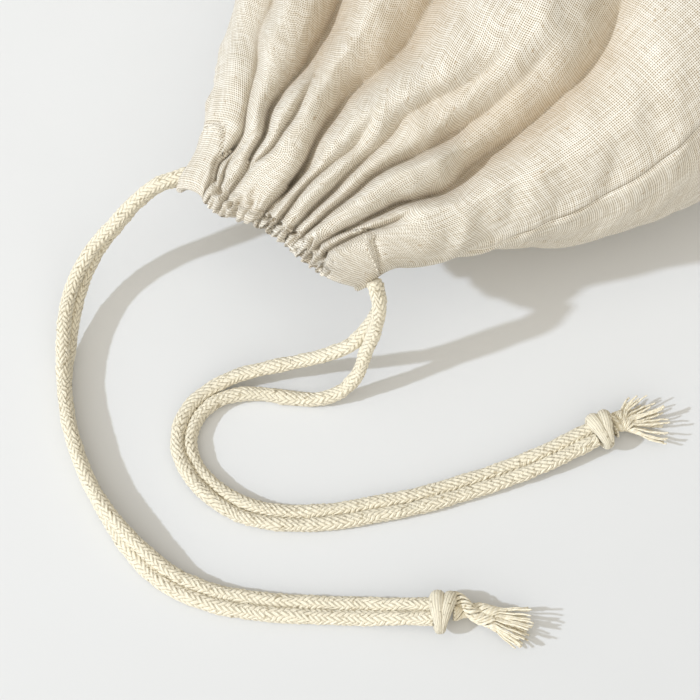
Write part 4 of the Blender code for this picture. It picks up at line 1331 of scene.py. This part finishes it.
def bag_row(place, behind, row, shares, slits):
    """One row of the smooth bag, what draws it in, and how much cloth its folds hide."""
    x, z, *widths = section_outline(row, shares)
    middle, half = (row["left"] + row["right"]) / 2, (row["right"] - row["left"]) / 2
    near = 1.0 - fade(behind, 0.0, LIP_REACH)
    across = (x - middle) / half
    lowness = np.clip((row["high"] + row["low"] - 2 * z) / (row["high"] - row["low"]), 0.0, 1.0)
    set_back = along_line(LIP_LINE, across) * (1.0 - fade(behind, 0.0, LIP_LINE_REACH))
    y = place + near * (LIP_SKEW * (x - middle) - LIP_BOW * (1.0 - across ** 2)) + set_back
    y = y + UNDER_BACK * lowness * (1.0 - fade(behind, 0.0, UNDER_REACH))
    y = y - BOTTOM_BOW * (1.0 - across ** 2) * fade(place, END_Y - BOTTOM_REACH, BOTTOM_REACH)
    z = z + near * LIP_TILT * (x - middle)
    parts = []
    back = np.split(behind + set_back, [PANEL_COLUMNS["upper"]])
    for panel, folds, width, far in zip(PANEL_COLUMNS, (UPPER_FOLDS, UNDER_FOLDS), widths, back):
        share = shares[panel]
        start, inner_end, lip_end = GATHERED[panel]
        end = lip_end + (inner_end - lip_end) * fade(behind, *NARROWING)
        edges = [(edge - GATHER_EDGE, 2 * GATHER_EDGE) for edge in (start, end)]
        gathered = between(share, *edges)
        hem = along_line(HEM_LINE, share) if panel == "upper" else UNDER_HEM
        slit = slit_depths(behind, slits[panel], share, width) * gathered
        fine = slit + casing_depths(behind, hem, gathered) + seam_depths(share, width, behind)
        folded, hidden = fold_depths(far, folds, share, width)
        parts.append((folded, fine, hidden, gathered))
    folded, fine, hidden, gathered = (np.concatenate(pair) for pair in zip(*parts))
    y = y - RUFFLE_REACH * gathered * (0.5 - fine / 2.0) * (1.0 - fade(behind, 0.0, RUFFLE_BACK))
    return np.stack([x, y, z], axis=1), folded, fine, hidden, gathered


# %% [markdown]
# All rows together make the grid. Slow waves are added where the cloth is free, and small crumples
# where it is gathered, and then every point is moved in. At the bottom the two panels meet.

# %% All rows
CLOTH_SEED = 5
MOUTH_PANEL = 92.0       # a panel's width at the drawn mouth, by which the slits are spaced
SLOW_WAVES = ((61, 0.5), (37, 0.35), (23, 0.22), (14, 0.12), (9, 0.05))    # wavelength, height
WAVES_IN, WAVES_OUT = (8.0, 30.0), (330.0, 26.0)    # behind the lip, and over how much
CRUMPLES = ((7.3, 0.3), (4.7, 0.25), (3.3, 0.16))   # small uneven lumps that fill the gathers
CRUMPLES_OUT = (5.0, 12.0)      # they go from here behind the lip, over this much
TOWARD_CAMERA = np.array(heading(CAMERA_AZIMUTH - 90.0, CAMERA_ELEVATION))
SEEN_FACING, LEAST_FACING = (0.25, 0.35), 0.3    # how squarely cloth has to face the camera
SEAM_RUN = 12.0          # the two panels close over this last run of the cloth
SHADE_FULL_AT = 20.0           # cloth drawn in this far gets the full painted crease shade
SLIT_PAINTED_SHADE = 2.5          # and a slit gets as much painted shade as a fold this many times as deep


def drawn_in(base, normals, folded, fine):
    """The bag's points: folds sink from the camera where it sees them, fine forms straight in."""
    facing = np.sum(normals * TOWARD_CAMERA, axis=2, keepdims=True)
    seen = fade(facing, *SEEN_FACING)
    inward = normals * (1.0 - seen) + TOWARD_CAMERA / np.maximum(facing, LEAST_FACING) * seen
    inward = inward + LEAN * unit(round_the_bag(base))
    outer = base - inward * folded[..., None] - normals * fine[..., None]
    outer[..., 2] = np.maximum(outer[..., 2], 0.0)
    return outer


def close_bottom(outer, behind):
    """Bring the two panels together in one seam, roundly, over the last rows."""
    share = np.clip((behind - behind[-1] + SEAM_RUN) / SEAM_RUN, 0.0, 1.0)
    for row, together in zip(outer, 1.0 - np.sqrt(1.0 - share ** 2)):
        upper, under = np.split(row, [PANEL_COLUMNS["upper"]])
        heights = []
        for panel in (upper, under):
            order = panel[:, 0].argsort()
            heights.append(np.interp(row[:, 0], panel[order, 0], panel[order, 2]))
        row[:, 2] += (sum(heights) / 2 - row[:, 2]) * together


def bag_grid():
    """The bag as a dictionary of grids, a row for each place behind the lip."""
    chance = np.random.default_rng(CLOTH_SEED)
    table = np.array(SECTIONS, float)
    behind = row_places()
    sections = smooth_values(table[:, 0], table[:, 1:], behind + LIP_Y)
    shares = {panel: panel_shares(panel) for panel in PANEL_COLUMNS}
    slits = {panel: slit_rows(panel, chance, MOUTH_PANEL) for panel in PANEL_COLUMNS}
    rows = [bag_row(back + LIP_Y, back, dict(zip(SECTION_COLUMNS[1:], values)), shares, slits)
            for back, values in zip(behind, sections)]
    base, folded, fine, hidden, gathered = (np.array(part) for part in zip(*rows))
    normals = grid_normals(base)
    arc, back = run_lengths(base), behind[:, None]
    lumps = between(back, WAVES_IN, WAVES_OUT) * slow_waves(SLOW_WAVES, arc, back, chance)
    crumpled = gathered * (1.0 - fade(back, *CRUMPLES_OUT))
    lumps += crumpled * slow_waves(CRUMPLES, arc, back, chance)
    outer = drawn_in(base, normals, folded, fine + lumps)
    close_bottom(outer, behind)
    # painted shade, deeper in the main folds and in the slits
    painted_shade_and_tone = np.clip((folded + SLIT_PAINTED_SHADE * np.maximum(fine, 0.0)) / SHADE_FULL_AT, 0.0, 1.0)
    return {"behind": behind, "base": base, "outer": outer, "outward": normals, "painted_shade_and_tone": painted_shade_and_tone,
            "hidden": hidden}


grid = bag_grid()
print("cloth rows and columns:", grid["outer"].shape[:2])

# %% [markdown]
# The UV map is the flat cloth, 300 mm to a panel. What the gathered rows lack in width is hidden
# in the creases, so the threads run along each ridge, as they do in a real gather.

# %% The flat cloth
FLAT_WIDE = 300.0        # each panel, laid flat
SPREAD_EVENLY = 2.0      # the larger, the less of the gathered cloth is hidden in the main folds
EVEN_ROUNDS = 24         # smoothing of the threads from row to row, so that they run straight


def closed(grid):
    """The grid with its first column repeated at its end."""
    return np.concatenate([grid, grid[:, :1]], axis=1)


def flat_cloth(grid):
    """Where each point of the grid lies on the flat cloth, before it was gathered."""
    shares = [panel_shares(panel) for panel in PANEL_COLUMNS]
    outer, upper = closed(grid["outer"]), PANEL_COLUMNS["upper"]
    across = []
    for run, hidden, share in ((outer[:, :upper + 1], grid["hidden"][:, :upper], shares[0]),
                               (outer[:, upper:], grid["hidden"][:, upper:], shares[1])):
        arc = run_lengths(run)
        missing = FLAT_WIDE - arc[:, -1:]
        most = hidden[:, -1:]
        in_folds = np.maximum(missing, 0.0) * hidden / (most + SPREAD_EVENLY)
        evenly = missing - np.maximum(missing, 0.0) * most / (most + SPREAD_EVENLY)
        across.append(arc[:, :-1] + in_folds + evenly * share)
    across[1] = across[1] + FLAT_WIDE
    across = np.concatenate(across, axis=1)
    for _ in range(EVEN_ROUNDS):
        across[1:-1] = (across[:-2] + 2.0 * across[1:-1] + across[2:]) / 4.0
    along = run_lengths(grid["base"].transpose(1, 0, 2)).T
    return across, along


# %% [markdown]
# The sheet has one skin outside. At the lip it rolls over and runs back inside as the turned hem,
# far enough that no edge shows in the drawn mouth.

# %% The bag
LIP_ROLL, TURNED_IN = 1.5, 20.0        # the lip's rounding, and how deep the turned hem shows inside
LIP_TURNS = np.array((2.4, 1.6, 0.8))  # the rows on that rounding, as angles from the outside


def build_bag():
    """The whole cloth as one piece, from its turned hem inside to the bottom seam."""
    outer, outward, behind = grid["outer"], grid["outward"], grid["behind"]
    across, along = flat_cloth(grid)
    inside = [k for k in range(0, len(behind), 2) if behind[k] <= TURNED_IN][::-1]
    turned = [outer[k] - outward[k] * 2 * LIP_ROLL for k in inside]
    rounding = [outer[0] - outward[0] * LIP_ROLL * (1 - math.cos(angle))
                - np.array([0.0, LIP_ROLL * math.sin(angle), 0.0]) for angle in LIP_TURNS]
    rows = np.array(turned + rounding + list(outer))
    rows[..., 2] = np.maximum(rows[..., 2], 0.0)
    hem_run = -np.concatenate([behind[inside] + math.pi * LIP_ROLL, LIP_TURNS * LIP_ROLL])
    along = np.concatenate([hem_run[:, None].repeat(across.shape[1], 1), along])
    # each row's painted shade goes with it, for the turned hem too
    across, painted_shade_rows = (np.concatenate([part[inside], part[:1].repeat(len(LIP_TURNS), 0), part])
                    for part in (across, grid["painted_shade_and_tone"]))
    across = np.concatenate([across, across[:, :1] + 2 * FLAT_WIDE], axis=1)
    cloth = bmesh.new()
    add_skin(cloth, closed(rows), np.stack([across, closed(along)], axis=2), closed(painted_shade_rows))
    bmesh.ops.triangulate(cloth, faces=cloth.faces[:], quad_method="SHORT_EDGE")
    piece = finish_piece("bread_bag_cloth", cloth, LINEN)
    dress(piece, "bag_cloth")
    return piece


bag = build_bag()

# %% [markdown]
# ## Sewing
# Two rows of stitches hold the casing down, and they show where the tabs lie flat. Each stitch is
# a tiny stretched ball, laid along the row and partly sunk in the cloth. They cost little and
# catch the light as thread does, which a painted dash wouldn't.

# %% Stitches
STITCH_LONG, STITCH_GAP, STITCH_THICK = 2.1, 0.9, 0.5
STITCH_FLAT, STITCH_OUT = 0.8, 0.2     # its height, and how far out its middle lies, in thicknesses
STITCH_POINTS = 400                    # how finely the cloth is read along a row
STITCH_ROWS = (0.9, 2.7)               # in front of the hem line
STITCHED = ((0.03, 0.13), (0.75, 0.965))    # the shares of the upper panel where the tabs are


def cloth_place(share, back):
    """The point of the upper cloth at a share of the panel and a distance behind the lip."""
    row = int(np.searchsorted(grid["behind"], back))
    column = int(np.searchsorted(panel_shares("upper"), share))
    return grid["outer"][row, column], grid["outward"][row, column]


def add_stitch(shape, start, end, out):
    """A stretched ball from start to end, its back in the cloth."""
    made = bmesh.ops.create_icosphere(shape, subdivisions=1, radius=0.5)["verts"]
    ahead = Vector(end - start)
    turn = ahead.to_track_quat("X", "Z")
    size = Vector((ahead.length, STITCH_THICK, STITCH_THICK * STITCH_FLAT))
    middle = Vector((start + end) / 2 + out * STITCH_THICK * STITCH_OUT)
    for spot in made:
        spot.co = (turn @ (spot.co * size) + middle) * MM


def build_stitches():
    """Both rows of stitches on both tabs, as one piece."""
    shape = bmesh.new()
    for start, end in STITCHED:
        shares = np.linspace(start, end, STITCH_POINTS)
        hems = along_line(HEM_LINE, shares)
        for ahead_of_hem in STITCH_ROWS:
            found = [cloth_place(share, hem - ahead_of_hem) for share, hem in zip(shares, hems)]
            line = np.array([place for place, _ in found])
            outs = np.array([out for _, out in found])
            run = run_lengths(line)
            for begin in np.arange(0.0, run[-1] - STITCH_LONG, STITCH_LONG + STITCH_GAP):
                ends = [np.array([np.interp(at, run, line[:, k]) for k in range(3)])
                        for at in (begin, begin + STITCH_LONG)]
                add_stitch(shape, *ends, outs[int(np.searchsorted(run, begin))])
    piece = finish_piece("casing_stitches", shape, SEWING)
    dress(piece, None)


build_stitches()
